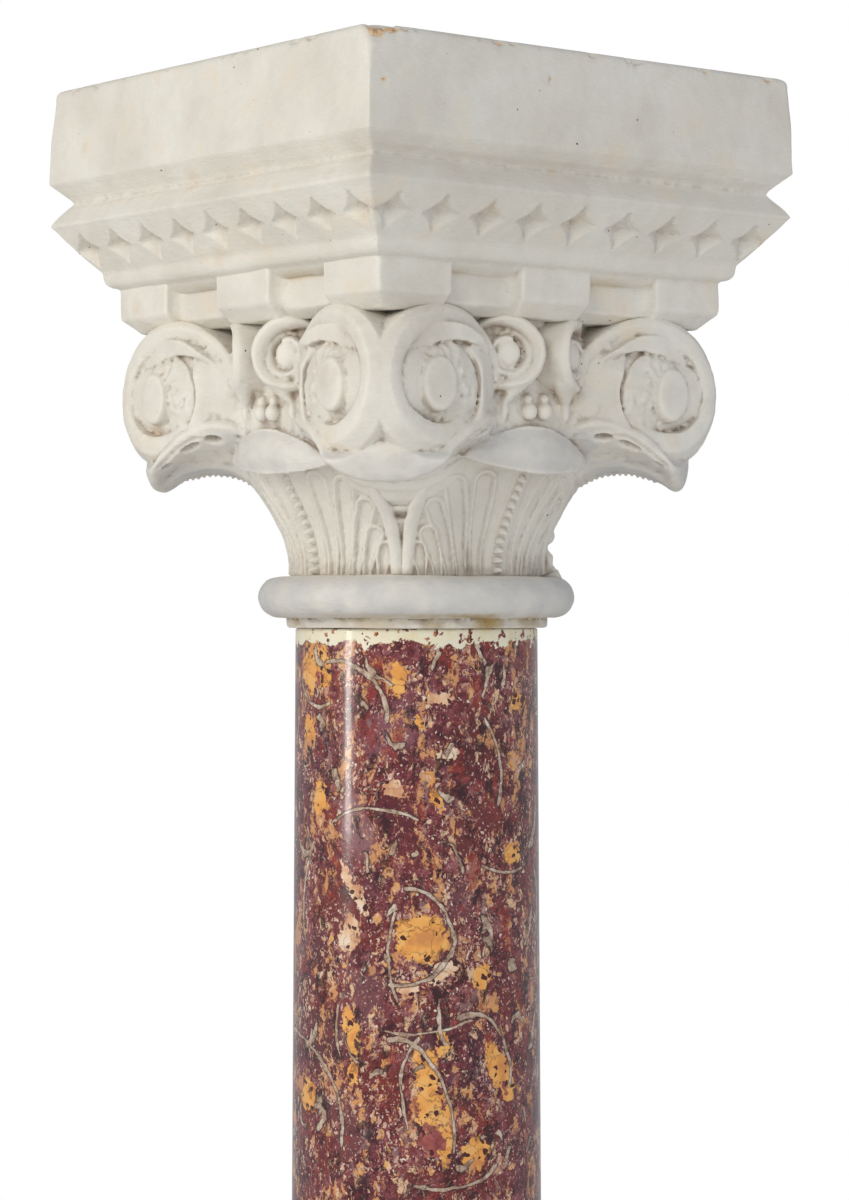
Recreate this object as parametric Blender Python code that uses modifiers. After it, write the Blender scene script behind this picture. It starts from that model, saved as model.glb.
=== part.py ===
"""Corinthian column: a marble shaft that stands on a moulded base and carries a carved capital."""

from math import cos, pi, radians, sin, sqrt

import bmesh
import bpy
from mathutils import Vector

# Joint between two stones
JOINT = 0.0003

# Shaft
SHAFT_LENGTH = 1.3454
SHAFT_FOOT_RADIUS = 0.0905
SHAFT_HEAD_RADIUS = 0.0832
ENTASIS_POWER = 1.214
SHAFT_ARRIS = 0.0015

# Base, one block: heights, and how far each moulding stands out beyond the shaft's foot
PLINTH_HEIGHT = 0.050
PLINTH_PROJECTION = 0.0415
PLINTH_EDGE = 0.002
LOWER_TORUS_HEIGHT = 0.032
LOWER_TORUS_PROJECTION = 0.0395
SCOTIA_HEIGHT = 0.018
SCOTIA_PROJECTION = 0.0135
UPPER_TORUS_HEIGHT = 0.018
UPPER_TORUS_PROJECTION = 0.0225
BASE_FILLET_HEIGHT = 0.004
BASE_FILLET_STEP = 0.006

# Capital, round part: heights, and how far each ring stands out beyond the shaft's head
NECK_HEIGHT = 0.007
NECK_PROJECTION = 0.0068
ASTRAGAL_HEIGHT = 0.028
ASTRAGAL_PROJECTION = 0.0258
BELL_HEIGHT = 0.1744
BELL_FOOT_PROJECTION = 0.0013
BELL_FLARE = 0.039

# Capital, square part: heights, and how far each moulding stands out beyond the dentil band
DENTIL_BAND_WIDTH = 0.295
DENTIL_HEIGHT = 0.0245
DENTIL_COUNT = 3
DENTIL_RECESS_DEPTH = 0.013
OVOLO_HEIGHT = 0.0118
OVOLO_PROJECTION = 0.009
SLOPE_HEIGHT = 0.0328
RIDGE_PROJECTION = 0.035
WEATHERING_HEIGHT = 0.0162
GROOVE_PROJECTION = 0.0235
CHAMFER_HEIGHT = 0.0123
SLAB_HEIGHT = 0.067
SLAB_PROJECTION = 0.036
SLAB_EDGE = 0.005
SLAB_BATTER = 0.0015

# Chip-cut stars along the cornice slope
STAR_COUNT = 9
STAR_DEPTH = 0.0055

# Carving: shares are of the bell's height, places along a face are shares of the dentil band's width
VOLUTE_SHARE = 0.22
VOLUTE_EYE_SHARE = 0.075
VOLUTE_EYE_LEVEL = 0.70
VOLUTE_EYE_PLACE = 0.344
VOLUTE_BEVEL = 0.0085
VOLUTE_PROJECTION = 0.003
CHANNEL_DEPTH = 0.0114
HELIX_SHARE = 0.143
HELIX_LEVEL = 0.86
HELIX_RELIEF = 0.012
FLORET_SHARE = 0.043
FLORET_LEVEL = 0.62
CORNER_LEAF_OVERHANG = 0.0635
CORNER_LEAF_SHARE = 0.258
FACE_LEAF_SHARE = 0.287
FACE_LEAF_RELIEF = 0.0065
BEAD_COUNT = 6
BEAD_RELIEF = 0.0048
STEM_WIDTH = 0.010
STEM_RELIEF = 0.0035
FLUTE_DEPTH = 0.0042

# How far a carving reaches into the bell, and a cutter out of it
BED = 0.004
CLEARANCE = 0.003

# Faceting
TURNED_STEPS = 26
SHAFT_RINGS = 3
VOLUTE_STEP = 44
HELIX_STEP = 67
SHARP_ANGLE = radians(32)

FACES = 4
QUARTER = pi / 2

# Radii and half sides from the column's axis
PLINTH_HALF_SIDE = SHAFT_FOOT_RADIUS + PLINTH_PROJECTION
LOWER_TORUS_RADIUS = SHAFT_FOOT_RADIUS + LOWER_TORUS_PROJECTION
SCOTIA_RADIUS = SHAFT_FOOT_RADIUS + SCOTIA_PROJECTION
UPPER_TORUS_RADIUS = SHAFT_FOOT_RADIUS + UPPER_TORUS_PROJECTION
NECK_RADIUS = SHAFT_HEAD_RADIUS + NECK_PROJECTION
ASTRAGAL_RADIUS = SHAFT_HEAD_RADIUS + ASTRAGAL_PROJECTION
BELL_FOOT_RADIUS = SHAFT_HEAD_RADIUS + BELL_FOOT_PROJECTION
BELL_HEAD_RADIUS = BELL_FOOT_RADIUS + BELL_FLARE
DENTIL_FACE = DENTIL_BAND_WIDTH / 2
OVOLO_FACE = DENTIL_FACE + OVOLO_PROJECTION
RIDGE_FACE = DENTIL_FACE + RIDGE_PROJECTION
GROOVE_FACE = DENTIL_FACE + GROOVE_PROJECTION
SLAB_FACE = DENTIL_FACE + SLAB_PROJECTION
CORNER_LEAF_REACH = BELL_HEAD_RADIUS + CORNER_LEAF_OVERHANG

# Sizes of the carving
VOLUTE_RADIUS = BELL_HEIGHT * VOLUTE_SHARE
VOLUTE_EYE_RADIUS = BELL_HEIGHT * VOLUTE_EYE_SHARE
VOLUTE_EYE_ALONG = DENTIL_BAND_WIDTH * VOLUTE_EYE_PLACE
VOLUTE_FACE = DENTIL_FACE + VOLUTE_PROJECTION
HELIX_RADIUS = BELL_HEIGHT * HELIX_SHARE
FLORET_RADIUS = BELL_HEIGHT * FLORET_SHARE
CORNER_LEAF_HALF_WIDTH = BELL_HEIGHT * CORNER_LEAF_SHARE
FACE_LEAF_HALF_LENGTH = BELL_HEIGHT * FACE_LEAF_SHARE

# Levels
BASE_MOULDING_HEIGHT = (LOWER_TORUS_HEIGHT + 3 * BASE_FILLET_HEIGHT + SCOTIA_HEIGHT
                        + UPPER_TORUS_HEIGHT)
BASE_HEIGHT = PLINTH_HEIGHT + BASE_MOULDING_HEIGHT
SHAFT_FOOT = BASE_HEIGHT + JOINT
CAPITAL_FOOT = SHAFT_FOOT + SHAFT_LENGTH + JOINT

# Levels of the capital above its own foot
BELL_FOOT = NECK_HEIGHT + ASTRAGAL_HEIGHT
BELL_HEAD = BELL_FOOT + BELL_HEIGHT
BAND_UNDERSIDE = BELL_HEAD - DENTIL_HEIGHT / 4
DENTIL_HEAD = BELL_HEAD + DENTIL_HEIGHT
OVOLO_HEAD = DENTIL_HEAD + OVOLO_HEIGHT
RIDGE_LEVEL = OVOLO_HEAD + SLOPE_HEIGHT
GROOVE_LEVEL = RIDGE_LEVEL + WEATHERING_HEIGHT
SLAB_FOOT = GROOVE_LEVEL + CHAMFER_HEIGHT
CAPITAL_HEIGHT = SLAB_FOOT + SLAB_HEIGHT


def make_material(name, colour, roughness):
    """Return a Principled material for stone."""
    material = bpy.data.materials.new(name)
    material.use_nodes = True
    shader = material.node_tree.nodes["Principled BSDF"]
    shader.inputs["Base Color"].default_value = (*colour, 1.0)
    shader.inputs["Roughness"].default_value = roughness
    shader.inputs["Metallic"].default_value = 0.0
    return material


def make_collection(name):
    """Return a new collection linked to the scene."""
    collection = bpy.data.collections.new(name)
    bpy.context.scene.collection.children.link(collection)
    return collection


def add_object(name, mesh, collection, height=0.0, turns=0):
    """Link a mesh as an object, lifted and turned by quarter turns about the column's axis."""
    thing = bpy.data.objects.new(name, mesh)
    thing.location.z = height
    thing.rotation_euler.z = turns * QUARTER
    collection.objects.link(thing)
    return thing


def hide_guide(thing):
    """Mark an object as one that only shapes another."""
    thing.hide_render = True
    thing.display_type = "WIRE"


def blend_list(values, place):
    """Return the value at a place from 0 to len - 1 on a smooth curve through the values."""
    last = len(values) - 1
    index = min(int(place), last - 1)
    part = place - index
    before = values[max(index - 1, 0)]
    start = values[index]
    end = values[index + 1]
    after = values[min(index + 2, last)]
    slope_in = (end - before) / 2
    slope_out = (after - start) / 2
    square = part * part
    cube = square * part
    return ((2 * cube - 3 * square + 1) * start + (cube - 2 * square + part) * slope_in
            + (3 * square - 2 * cube) * end + (cube - square) * slope_out)


def arc(centre_x, centre_z, radius_x, radius_z, start, end, steps):
    """Return points on an elliptic arc, in degrees, both ends included."""
    points = []
    for step in range(steps + 1):
        angle = radians(start + (end - start) * step / steps)
        points.append((centre_x + radius_x * cos(angle), centre_z + radius_z * sin(angle)))
    return points


def profile_mesh(name, profile):
    """Return an open outline in the XZ plane as a mesh of edges."""
    mesh = bpy.data.meshes.new(name)
    vertices = [(x, 0.0, z) for x, z in profile]
    edges = [(index, index + 1) for index in range(len(profile) - 1)]
    mesh.from_pydata(vertices, edges, [])
    return mesh


def turn_profile(thing, steps):
    """Turn an object's outline about its Z axis."""
    screw = thing.modifiers.new("Turned", "SCREW")
    screw.steps = steps
    screw.render_steps = steps
    screw.use_merge_vertices = True
    screw.merge_threshold = 0.00001
    screw.use_smooth_shade = False
    return screw


def square_profile(profile):
    """Return half sides as corner distances, for an outline that is turned in four steps."""
    return [(half_side * sqrt(2), height) for half_side, height in profile]


def loft(name, rings):
    """Return a closed mesh through rings of equal count, capped at both ends."""
    shape = bmesh.new()
    rows = [[shape.verts.new(point) for point in ring] for ring in rings]
    count = len(rings[0])
    for lower, upper in zip(rows, rows[1:]):
        for index in range(count):
            after = (index + 1) % count
            shape.faces.new((lower[index], lower[after], upper[after], upper[index]))
    shape.faces.new(list(reversed(rows[0])))
    shape.faces.new(rows[-1])
    bmesh.ops.recalc_face_normals(shape, faces=shape.faces)
    mesh = bpy.data.meshes.new(name)
    shape.to_mesh(mesh)
    shape.free()
    return mesh


def add_union(thing, collection):
    """Join a collection's objects to an object as one closed body."""
    union = thing.modifiers.new("Joined carving", "BOOLEAN")
    union.operation = "UNION"
    union.solver = "EXACT"
    union.operand_type = "COLLECTION"
    union.collection = collection


def add_cut(thing, collection):
    """Cut a collection's objects out of an object."""
    cut = thing.modifiers.new("Chisel cuts", "BOOLEAN")
    cut.operation = "DIFFERENCE"
    cut.solver = "EXACT"
    cut.operand_type = "COLLECTION"
    cut.collection = collection


def finish_shape(thing):
    """Make an object's evaluated shape its mesh, smooth on its rounds and sharp at its arrises."""
    evaluated = thing.evaluated_get(bpy.context.evaluated_depsgraph_get())
    thing.data = bpy.data.meshes.new_from_object(evaluated)
    thing.modifiers.clear()
    thing.data.name = thing.name
    thing.data.shade_smooth()
    thing.data.set_sharp_from_angle(angle=SHARP_ANGLE)


def add_mirror(thing):
    """Repeat a half face's carving on the other side of the face's middle."""
    mirror = thing.modifiers.new("Other half", "MIRROR")
    mirror.use_axis = (True, False, False)
    mirror.use_mirror_merge = False
    mirror.merge_threshold = 0.00001


def place_on_faces(name, mesh, collection, mirrored):
    """Put a carving on the four faces of the capital as shaping objects."""
    for turns in range(FACES):
        thing = add_object(f"{name}_{turns + 1}", mesh, collection, CAPITAL_FOOT, turns)
        hide_guide(thing)
        if mirrored:
            add_mirror(thing)


def on_face(along, depth, height):
    """Return a point by its place along the front face, its distance from the axis and height."""
    return Vector((along, -depth, height))


def on_bell(angle, radius, height):
    """Return a point by its angle in degrees from the front face's middle."""
    turned = radians(angle)
    return Vector((radius * sin(turned), -radius * cos(turned), height))


def bell_level(share):
    """Return the height at a share of the bell."""
    return BELL_FOOT + share * BELL_HEIGHT


def bell_radius(share):
    """Return the bell's radius at a share of its height."""
    flare = min(max((share - 0.05) / 0.55, 0.0), 1.0)
    spread = flare * flare * (3 - 2 * flare)
    return BELL_FOOT_RADIUS + (BELL_HEAD_RADIUS - BELL_FOOT_RADIUS) * spread


def base_profile():
    """Outline of the base's turned part from its top down, ending inside the plinth."""
    level = BASE_HEIGHT
    points = [(0.0, level)]
    seat = UPPER_TORUS_RADIUS - 2 * BASE_FILLET_STEP
    points.append((seat, level))
    level -= BASE_FILLET_HEIGHT
    points.append((seat, level))
    half = UPPER_TORUS_HEIGHT / 2
    points += arc(UPPER_TORUS_RADIUS - half, level - half, half, half, 90, -90, 4)
    level -= UPPER_TORUS_HEIGHT
    upper_fillet = UPPER_TORUS_RADIUS - BASE_FILLET_STEP / 2
    points.append((upper_fillet, level))
    level -= BASE_FILLET_HEIGHT
    points.append((upper_fillet, level))
    lower_fillet = LOWER_TORUS_RADIUS - BASE_FILLET_STEP
    for step in range(1, 4):
        part = step / 4
        hollow = sin(pi * part) * (upper_fillet - SCOTIA_RADIUS)
        line = upper_fillet + (lower_fillet - upper_fillet) * part
        points.append((line - hollow, level - SCOTIA_HEIGHT * part))
    level -= SCOTIA_HEIGHT
    points.append((lower_fillet, level))
    level -= BASE_FILLET_HEIGHT
    points.append((lower_fillet, level))
    half = LOWER_TORUS_HEIGHT / 2
    points += arc(LOWER_TORUS_RADIUS - half, level - half, half, half, 90, -90, 5)
    inside = PLINTH_HEIGHT / 2
    points.append((LOWER_TORUS_RADIUS - half, inside))
    points.append((0.0, inside))
    return points


def build_base(parts, guides, material):
    """Make the base as one block: plinth, lower torus, scotia and upper torus."""
    shape = bmesh.new()
    bmesh.ops.create_cube(shape, size=1.0)
    side = 2 * PLINTH_HALF_SIDE
    bmesh.ops.scale(shape, vec=(side, side, PLINTH_HEIGHT), verts=shape.verts)
    bmesh.ops.translate(shape, vec=(0.0, 0.0, PLINTH_HEIGHT / 2), verts=shape.verts)
    bmesh.ops.bevel(shape, geom=shape.edges[:], offset=PLINTH_EDGE, segments=1, affect="EDGES")
    mesh = bpy.data.meshes.new("base")
    shape.to_mesh(mesh)
    shape.free()
    mesh.materials.append(material)
    base = add_object("base", mesh, parts)
    mouldings = add_object("base_mouldings", profile_mesh("base_mouldings", base_profile()), guides)
    turn_profile(mouldings, TURNED_STEPS)
    hide_guide(mouldings)
    add_union(base, guides)
    finish_shape(base)


def shaft_profile():
    """Outline of the shaft from its top down, with a gentle swelling."""
    points = [(0.0, SHAFT_LENGTH), (SHAFT_HEAD_RADIUS - SHAFT_ARRIS, SHAFT_LENGTH)]
    for ring in range(SHAFT_RINGS + 1):
        height = SHAFT_ARRIS + (SHAFT_LENGTH - 2 * SHAFT_ARRIS) * (1 - ring / SHAFT_RINGS)
        taper = (height / SHAFT_LENGTH) ** ENTASIS_POWER
        points.append((SHAFT_FOOT_RADIUS + (SHAFT_HEAD_RADIUS - SHAFT_FOOT_RADIUS) * taper, height))
    points += [(SHAFT_FOOT_RADIUS - SHAFT_ARRIS, 0.0), (0.0, 0.0)]
    return points


def build_shaft(parts, material):
    """Make the marble shaft."""
    mesh = profile_mesh("shaft", shaft_profile())
    mesh.materials.append(material)
    shaft = add_object("shaft", mesh, parts, SHAFT_FOOT)
    turn_profile(shaft, TURNED_STEPS)
    finish_shape(shaft)


def bell_profile():
    """Outline of the capital's round part from inside the dentil band down to the joint."""
    top = BELL_HEAD + DENTIL_HEIGHT / 2
    points = [(0.0, top), (BELL_HEAD_RADIUS, top)]
    for share in (0.62, 0.47, 0.34, 0.22, 0.08, 0.0):
        points.append((bell_radius(share), bell_level(share)))
    half = ASTRAGAL_HEIGHT / 2
    points += arc(ASTRAGAL_RADIUS - half, NECK_HEIGHT + half, half, half, 90, -90, 5)
    points += [(NECK_RADIUS, NECK_HEIGHT), (NECK_RADIUS, 0.0), (0.0, 0.0)]
    return points


def moulding_profile():
    """Outline of the square part, as half sides, from the slab's top down to the bell."""
    points = [(0.0, CAPITAL_HEIGHT), (SLAB_FACE - SLAB_EDGE, CAPITAL_HEIGHT)]
    points.append((SLAB_FACE - SLAB_BATTER, CAPITAL_HEIGHT - SLAB_EDGE))
    points.append((SLAB_FACE, SLAB_FOOT))
    points.append((GROOVE_FACE, GROOVE_LEVEL))
    points += [(RIDGE_FACE, RIDGE_LEVEL), (OVOLO_FACE, OVOLO_HEAD)]
    points += arc(DENTIL_FACE, OVOLO_HEAD, OVOLO_PROJECTION, OVOLO_HEIGHT, 0, -90, 3)[1:]
    points += [(DENTIL_FACE, BELL_HEAD), (DENTIL_FACE - CHANNEL_DEPTH, BAND_UNDERSIDE)]
    points.append((0.0, BAND_UNDERSIDE))
    return points


def volute_radius(angle):
    """Outer radius of the spiral about its eye; the angle falls as the spiral winds in."""
    turns = (1.88, 1.51, 1.21, 1.07, 1.0, 0.99, 1.0, 0.94, 0.83, 0.70, 0.57, 0.44, 0.35)
    return VOLUTE_RADIUS * blend_list(turns, (180 - angle) / 45)


def volute_rings():
    """Sections of the volute's band, from its stem on the bell to the eye."""
    eye_height = bell_level(VOLUTE_EYE_LEVEL)
    widths = (0.26, 0.33, 0.39, 0.44, 0.39, 0.235, 0.17)
    set_backs = (0.62, 0.13, 0.0, 0.0, 0.31, 0.23, 0.05)
    bevels = (0.3, 0.5, 1.0, 0.8, 0.25, 0.15, 0.12)
    back = VOLUTE_EYE_ALONG - BED
    rings = []
    for angle in range(170, -360 - 1, -VOLUTE_STEP):
        place = min((180 - angle) / 90, len(widths) - 1)
        outer = volute_radius(angle)
        inner = outer - VOLUTE_RADIUS * blend_list(widths, place)
        face = VOLUTE_FACE - VOLUTE_RADIUS * blend_list(set_backs, place)
        bevel = VOLUTE_BEVEL * blend_list(bevels, place)
        section = ((outer + bevel, back), (outer + bevel, face - bevel), (outer, face),
                   (inner, face), (inner * 0.97, back))
        direction = radians(angle)
        rings.append([on_face(VOLUTE_EYE_ALONG + reach * cos(direction), depth,
                              eye_height + reach * sin(direction)) for reach, depth in section])
    return rings


def volute_eye_rings():
    """Rings of the button at the volute's middle, back to front."""
    sides = 7
    height = bell_level(VOLUTE_EYE_LEVEL)
    rings = []
    for share, depth in ((1.2, VOLUTE_EYE_ALONG), (0.9, VOLUTE_FACE)):
        radius = VOLUTE_EYE_RADIUS * share
        rings.append([on_face(VOLUTE_EYE_ALONG + radius * cos(2 * pi * side / sides), depth,
                              height + radius * sin(2 * pi * side / sides)) for side in range(sides)])
    return rings


def corner_block_rings():
    """Square body behind the volutes, its faces slightly hollow, its corners following them."""
    centre = bell_level(VOLUTE_EYE_LEVEL + 0.02)
    wall = DENTIL_FACE - CHANNEL_DEPTH
    levels = []
    for step in range(7):
        angle = radians(-84 + 168 * step / 6)
        reach = min(VOLUTE_EYE_ALONG + VOLUTE_RADIUS * cos(angle), wall)
        levels.append((reach, centre + VOLUTE_RADIUS * sin(angle)))
    levels.append((levels[-1][0], BELL_HEAD))
    rings = []
    for reach, height in levels:
        ring = []
        for turns in range(FACES):
            for share in (-1.0, -0.55, -0.2, 0.2, 0.55):
                depth = BELL_HEAD_RADIUS + (reach - BELL_HEAD_RADIUS) * share * share
                place = on_face(share * reach, min(depth, reach), height)
                ring.append(rotate_quarter(place, turns))
        rings.append(ring)
    return rings


def rotate_quarter(point, turns):
    """Turn a point about the axis by quarter turns."""
    x, y, z = point
    for _ in range(turns):
        x, y = -y, x
    return Vector((x, y, z))


def corner_leaf_rings():
    """Sections of a corner leaf, a hull with a keel, from inside the bell to its drooping tip."""
    reaches = (0.36, 0.53, 0.615, 0.72, 0.83, 0.90, 0.955, 0.99)
    keels = (0.20, 0.27, 0.372, 0.407, 0.402, 0.375, 0.350, 0.40)
    rims = (0.50, 0.545, 0.588, 0.590, 0.548, 0.495, 0.45, 0.475)
    tops = (0.60, 0.62, 0.64, 0.65, 0.615, 0.575, 0.53, 0.505)
    widths = (0.9, 1.08, 1.12, 1.08, 1.02, 0.98, 0.9, 0.55)
    rings = []
    for reach, keel, rim, top, width in zip(reaches, keels, rims, tops, widths):
        along = CORNER_LEAF_REACH * reach
        half = CORNER_LEAF_HALF_WIDTH * width
        low = bell_level(keel)
        side = bell_level(rim)
        high = bell_level(top)
        section = ((0.0, low), (0.72 * half, low + 0.36 * (side - low)), (half, side),
                   (0.55 * half, high - 0.25 * (high - side)), (0.0, high))
        mirrored = [(-across, height) for across, height in reversed(section[1:-1])]
        rings.append([corner_point(along, across, height) for across, height in section + tuple(mirrored)])
    return rings


def corner_point(out, across, height):
    """Return a point on the diagonal between the front face and the one on its right."""
    diagonal = sqrt(0.5)
    return Vector(((out + across) * diagonal, (across - out) * diagonal, height))


def face_leaf_rings():
    """Sections of the smooth turned-over tip in the middle of a face."""
    inside = BELL_HEAD_RADIUS * 0.83
    rings = []
    for step in range(8):
        share = -1 + 2 * step / 7
        body = sqrt(max(1 - share * share, 0.0004))
        depth = BELL_HEAD_RADIUS * (0.945 + 0.05 * body)
        low = bell_level(0.432 - 0.052 * body)
        high = bell_level(0.44 + 0.122 * body)
        bulge = FACE_LEAF_RELIEF * (0.15 + 0.95 * body)
        rise = high - low
        section = ((inside, low + 0.02 * rise), (depth, low), (depth + bulge, low + 0.32 * rise),
                   (depth + 0.6 * bulge, low + 0.72 * rise), (depth - 0.3 * bulge, high),
                   (inside, high - 0.02 * rise))
        rings.append([on_face(share * FACE_LEAF_HALF_LENGTH, out, height) for out, height in section])
    return rings


def stem_rings():
    """Sections of the raised stem that runs from a bell corner to the end of the face leaf's tip."""
    shares = (-0.01, 0.20, 0.30, 0.38, 0.447)
    angles = (41.9, 42.0, 38.5, 33.0, 26.0)
    widths = (1.0, 1.0, 0.85, 0.7, 0.65)
    rings = []
    for share, angle, width in zip(shares, angles, widths):
        radius = bell_radius(share)
        half = STEM_WIDTH * width / 2
        spread = half / radius * 180 / pi
        height = bell_level(share)
        rings.append([on_bell(angle - spread, radius - BED, height),
                      on_bell(angle - spread * 0.6, radius + STEM_RELIEF, height),
                      on_bell(angle + spread * 0.6, radius + STEM_RELIEF, height),
                      on_bell(angle + spread, radius - BED, height)])
    return rings


def flute_rings(foot_angle, head_angle, head_share, half_width):
    """Sections of one flute of the palmette, narrow at its foot and round at its head."""
    rings = []
    for rise, width in ((0.0, 0.45), (0.5, 0.8), (0.88, 1.0), (1.0, 0.4)):
        share = 0.03 + (head_share - 0.03) * rise
        angle = foot_angle + (head_angle - foot_angle) * rise ** 1.6
        radius = bell_radius(share)
        half = half_width * width
        spread = half / radius * 180 / pi
        height = bell_level(share)
        rings.append([on_bell(angle - spread, radius + CLEARANCE, height),
                      on_bell(angle, radius - FLUTE_DEPTH * width, height),
                      on_bell(angle + spread, radius + CLEARANCE, height)])
    return rings


# Flutes of half a palmette: angle at the foot, angle at the head, bell share of the head, half width
FLUTES = ((10.5, 12.0, 0.375, 0.0060), (18.0, 24.5, 0.335, 0.0056), (25.5, 32.0, 0.22, 0.0046))


def bead_mesh(index):
    """One pointed bead of a face's midrib, smaller towards the top."""
    rise = index / (BEAD_COUNT - 1)
    share = 0.045 + 0.30 * rise
    size = BEAD_RELIEF * (1 - 0.3 * rise)
    radius = bell_radius(share)
    level = bell_level(share)
    inside = radius - BED
    low = [on_face(-size * 1.4, inside, level - size * 0.8), on_face(size * 1.4, inside, level - size * 0.8),
           on_face(0.0, radius + size, level - size * 0.5)]
    high = [on_face(-size * 0.4, inside, level + size * 0.8), on_face(size * 0.4, inside, level + size * 0.8),
            on_face(0.0, radius, level + size * 0.6)]
    return loft("midrib_bead", [low, high])


def helix_rings():
    """Sections of the small scroll beside the middle of a face."""
    along = HELIX_RADIUS * 1.08
    height = bell_level(HELIX_LEVEL)
    front = BELL_HEAD_RADIUS + HELIX_RELIEF
    back = BELL_HEAD_RADIUS * 0.88
    rings = []
    for angle in range(200, -270 - 1, -HELIX_STEP):
        wound = (200 - angle) / 470
        outer = HELIX_RADIUS * (1.12 - 0.72 * wound)
        inner = outer - HELIX_RADIUS * (0.30 - 0.08 * wound)
        direction = radians(180 - angle)
        ring = []
        for reach, depth in ((outer, back), (outer, front - 0.08 * outer), (inner, front), (inner, back)):
            across = reach * cos(direction)
            lean = 0.35 * across if depth > back else 0.0
            ring.append(on_face(along + across, depth - lean, height + 0.9 * reach * sin(direction)))
        rings.append(ring)
    return rings


def floret_lobe_mesh():
    """One of the two round lobes under the helices."""
    shape = bmesh.new()
    bmesh.ops.create_uvsphere(shape, u_segments=6, v_segments=3, radius=FLORET_RADIUS)
    place = on_face(FLORET_RADIUS * 1.12, BELL_HEAD_RADIUS + FLORET_RADIUS * 0.25, bell_level(FLORET_LEVEL))
    bmesh.ops.translate(shape, vec=place, verts=shape.verts)
    mesh = bpy.data.meshes.new("floret_lobe")
    shape.to_mesh(mesh)
    shape.free()
    return mesh


def star_mesh(along, half_width):
    """The hollow of one four-pointed star, a shallow pyramid sunk into the cornice slope."""
    foot = Vector((OVOLO_FACE, OVOLO_HEAD))
    head = Vector((RIDGE_FACE, RIDGE_LEVEL))
    up = (head - foot).normalized()
    out = Vector((up.y, -up.x))
    middle = foot + (head - foot) * 0.33
    shape = bmesh.new()
    rim = []
    for side in range(8):
        angle = side * pi / 4
        reach = half_width * (1.0 if side % 2 == 0 else 0.36)
        place = middle + up * (reach * sin(angle)) + out * (STAR_DEPTH * 0.07)
        rim.append(shape.verts.new(on_face(along + reach * cos(angle), place.x, place.y)))
    deep = middle - out * STAR_DEPTH
    apex = shape.verts.new(on_face(along, deep.x, deep.y))
    for index in range(8):
        shape.faces.new((rim[index], rim[(index + 1) % 8], apex))
    shape.faces.new(rim)
    bmesh.ops.recalc_face_normals(shape, faces=shape.faces)
    mesh = bpy.data.meshes.new("star_hollow")
    shape.to_mesh(mesh)
    shape.free()
    return mesh


def recess_mesh(along, width):
    """The hollow between two dentils, with scooped sides."""
    front = DENTIL_FACE + CLEARANCE
    back = DENTIL_FACE - DENTIL_RECESS_DEPTH
    scoop = DENTIL_FACE - DENTIL_RECESS_DEPTH * 0.77
    half = width / 2
    rings = []
    for height in (BAND_UNDERSIDE - DENTIL_HEIGHT * 0.03, DENTIL_HEAD):
        rings.append([on_face(along - half * 1.01, front, height),
                      on_face(along - half * 0.88, scoop, height),
                      on_face(along - half * 0.6, back, height),
                      on_face(along + half * 0.6, back, height),
                      on_face(along + half * 0.88, scoop, height),
                      on_face(along + half * 1.01, front, height)])
    return loft("dentil_recess", rings)


def build_capital(parts, carving, cuts, material):
    """Make the capital as one stone: bell, leaves, volutes, dentils, cornice and slab."""
    core = profile_mesh("capital", bell_profile())
    core.materials.append(material)
    capital = add_object("capital", core, parts, CAPITAL_FOOT)
    turn_profile(capital, TURNED_STEPS)

    square = profile_mesh("mouldings", square_profile(moulding_profile()))
    mouldings = add_object("mouldings", square, carving, CAPITAL_FOOT)
    mouldings.rotation_euler.z = QUARTER / 2
    turn_profile(mouldings, FACES)
    hide_guide(mouldings)

    block = add_object("corner_block", loft("corner_block", corner_block_rings()), carving, CAPITAL_FOOT)
    hide_guide(block)

    place_on_faces("volute", loft("volute", volute_rings()), carving, True)
    place_on_faces("volute_eye", loft("volute_eye", volute_eye_rings()), carving, True)
    place_on_faces("corner_leaf", loft("corner_leaf", corner_leaf_rings()), carving, False)
    place_on_faces("face_leaf", loft("face_leaf", face_leaf_rings()), carving, False)
    place_on_faces("stem", loft("stem", stem_rings()), carving, True)
    place_on_faces("helix", loft("helix", helix_rings()), carving, True)
    place_on_faces("floret_lobe", floret_lobe_mesh(), carving, True)
    for index in range(BEAD_COUNT):
        place_on_faces(f"midrib_bead_{index + 1}", bead_mesh(index), carving, False)
    add_union(capital, carving)

    for number, flute in enumerate(FLUTES, 1):
        place_on_faces(f"flute_{number}", loft("flute", flute_rings(*flute)), cuts, True)
    module = DENTIL_BAND_WIDTH / (2 * DENTIL_COUNT - 1)
    for index in range(DENTIL_COUNT - 1):
        along = (2 * index + 1 - (DENTIL_COUNT - 1)) * module
        place_on_faces(f"dentil_recess_{index + 1}", recess_mesh(along, module), cuts, False)
    pitch = 2 * (OVOLO_FACE + 0.6 * (RIDGE_FACE - OVOLO_FACE)) / STAR_COUNT
    for index in range(STAR_COUNT):
        along = (index - (STAR_COUNT - 1) / 2) * pitch
        place_on_faces(f"star_{index + 1}", star_mesh(along, pitch * 0.43), cuts, False)
    add_cut(capital, cuts)
    finish_shape(capital)


def main():
    """Build the column."""
    for thing in list(bpy.data.objects):
        bpy.data.objects.remove(thing)
    parts = make_collection("corinthian_column")
    base_guides = make_collection("base_guides")
    carving = make_collection("capital_carving")
    cuts = make_collection("capital_cuts")
    marble = make_material("violet_brocatelle_marble", (0.20, 0.07, 0.07), 0.18)
    painted = make_material("painted_stone", (0.70, 0.67, 0.60), 0.6)
    build_base(parts, base_guides, painted)
    build_shaft(parts, marble)
    build_capital(parts, carving, cuts, painted)


main()
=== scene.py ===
"""Corinthian column: a polished brocatelle marble shaft under a carved capital in old cream paint."""

from math import cos, pi, radians, sin, sqrt

import bmesh
import bpy
import numpy as np
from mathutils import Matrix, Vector, noise
from mathutils.bvhtree import BVHTree


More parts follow.
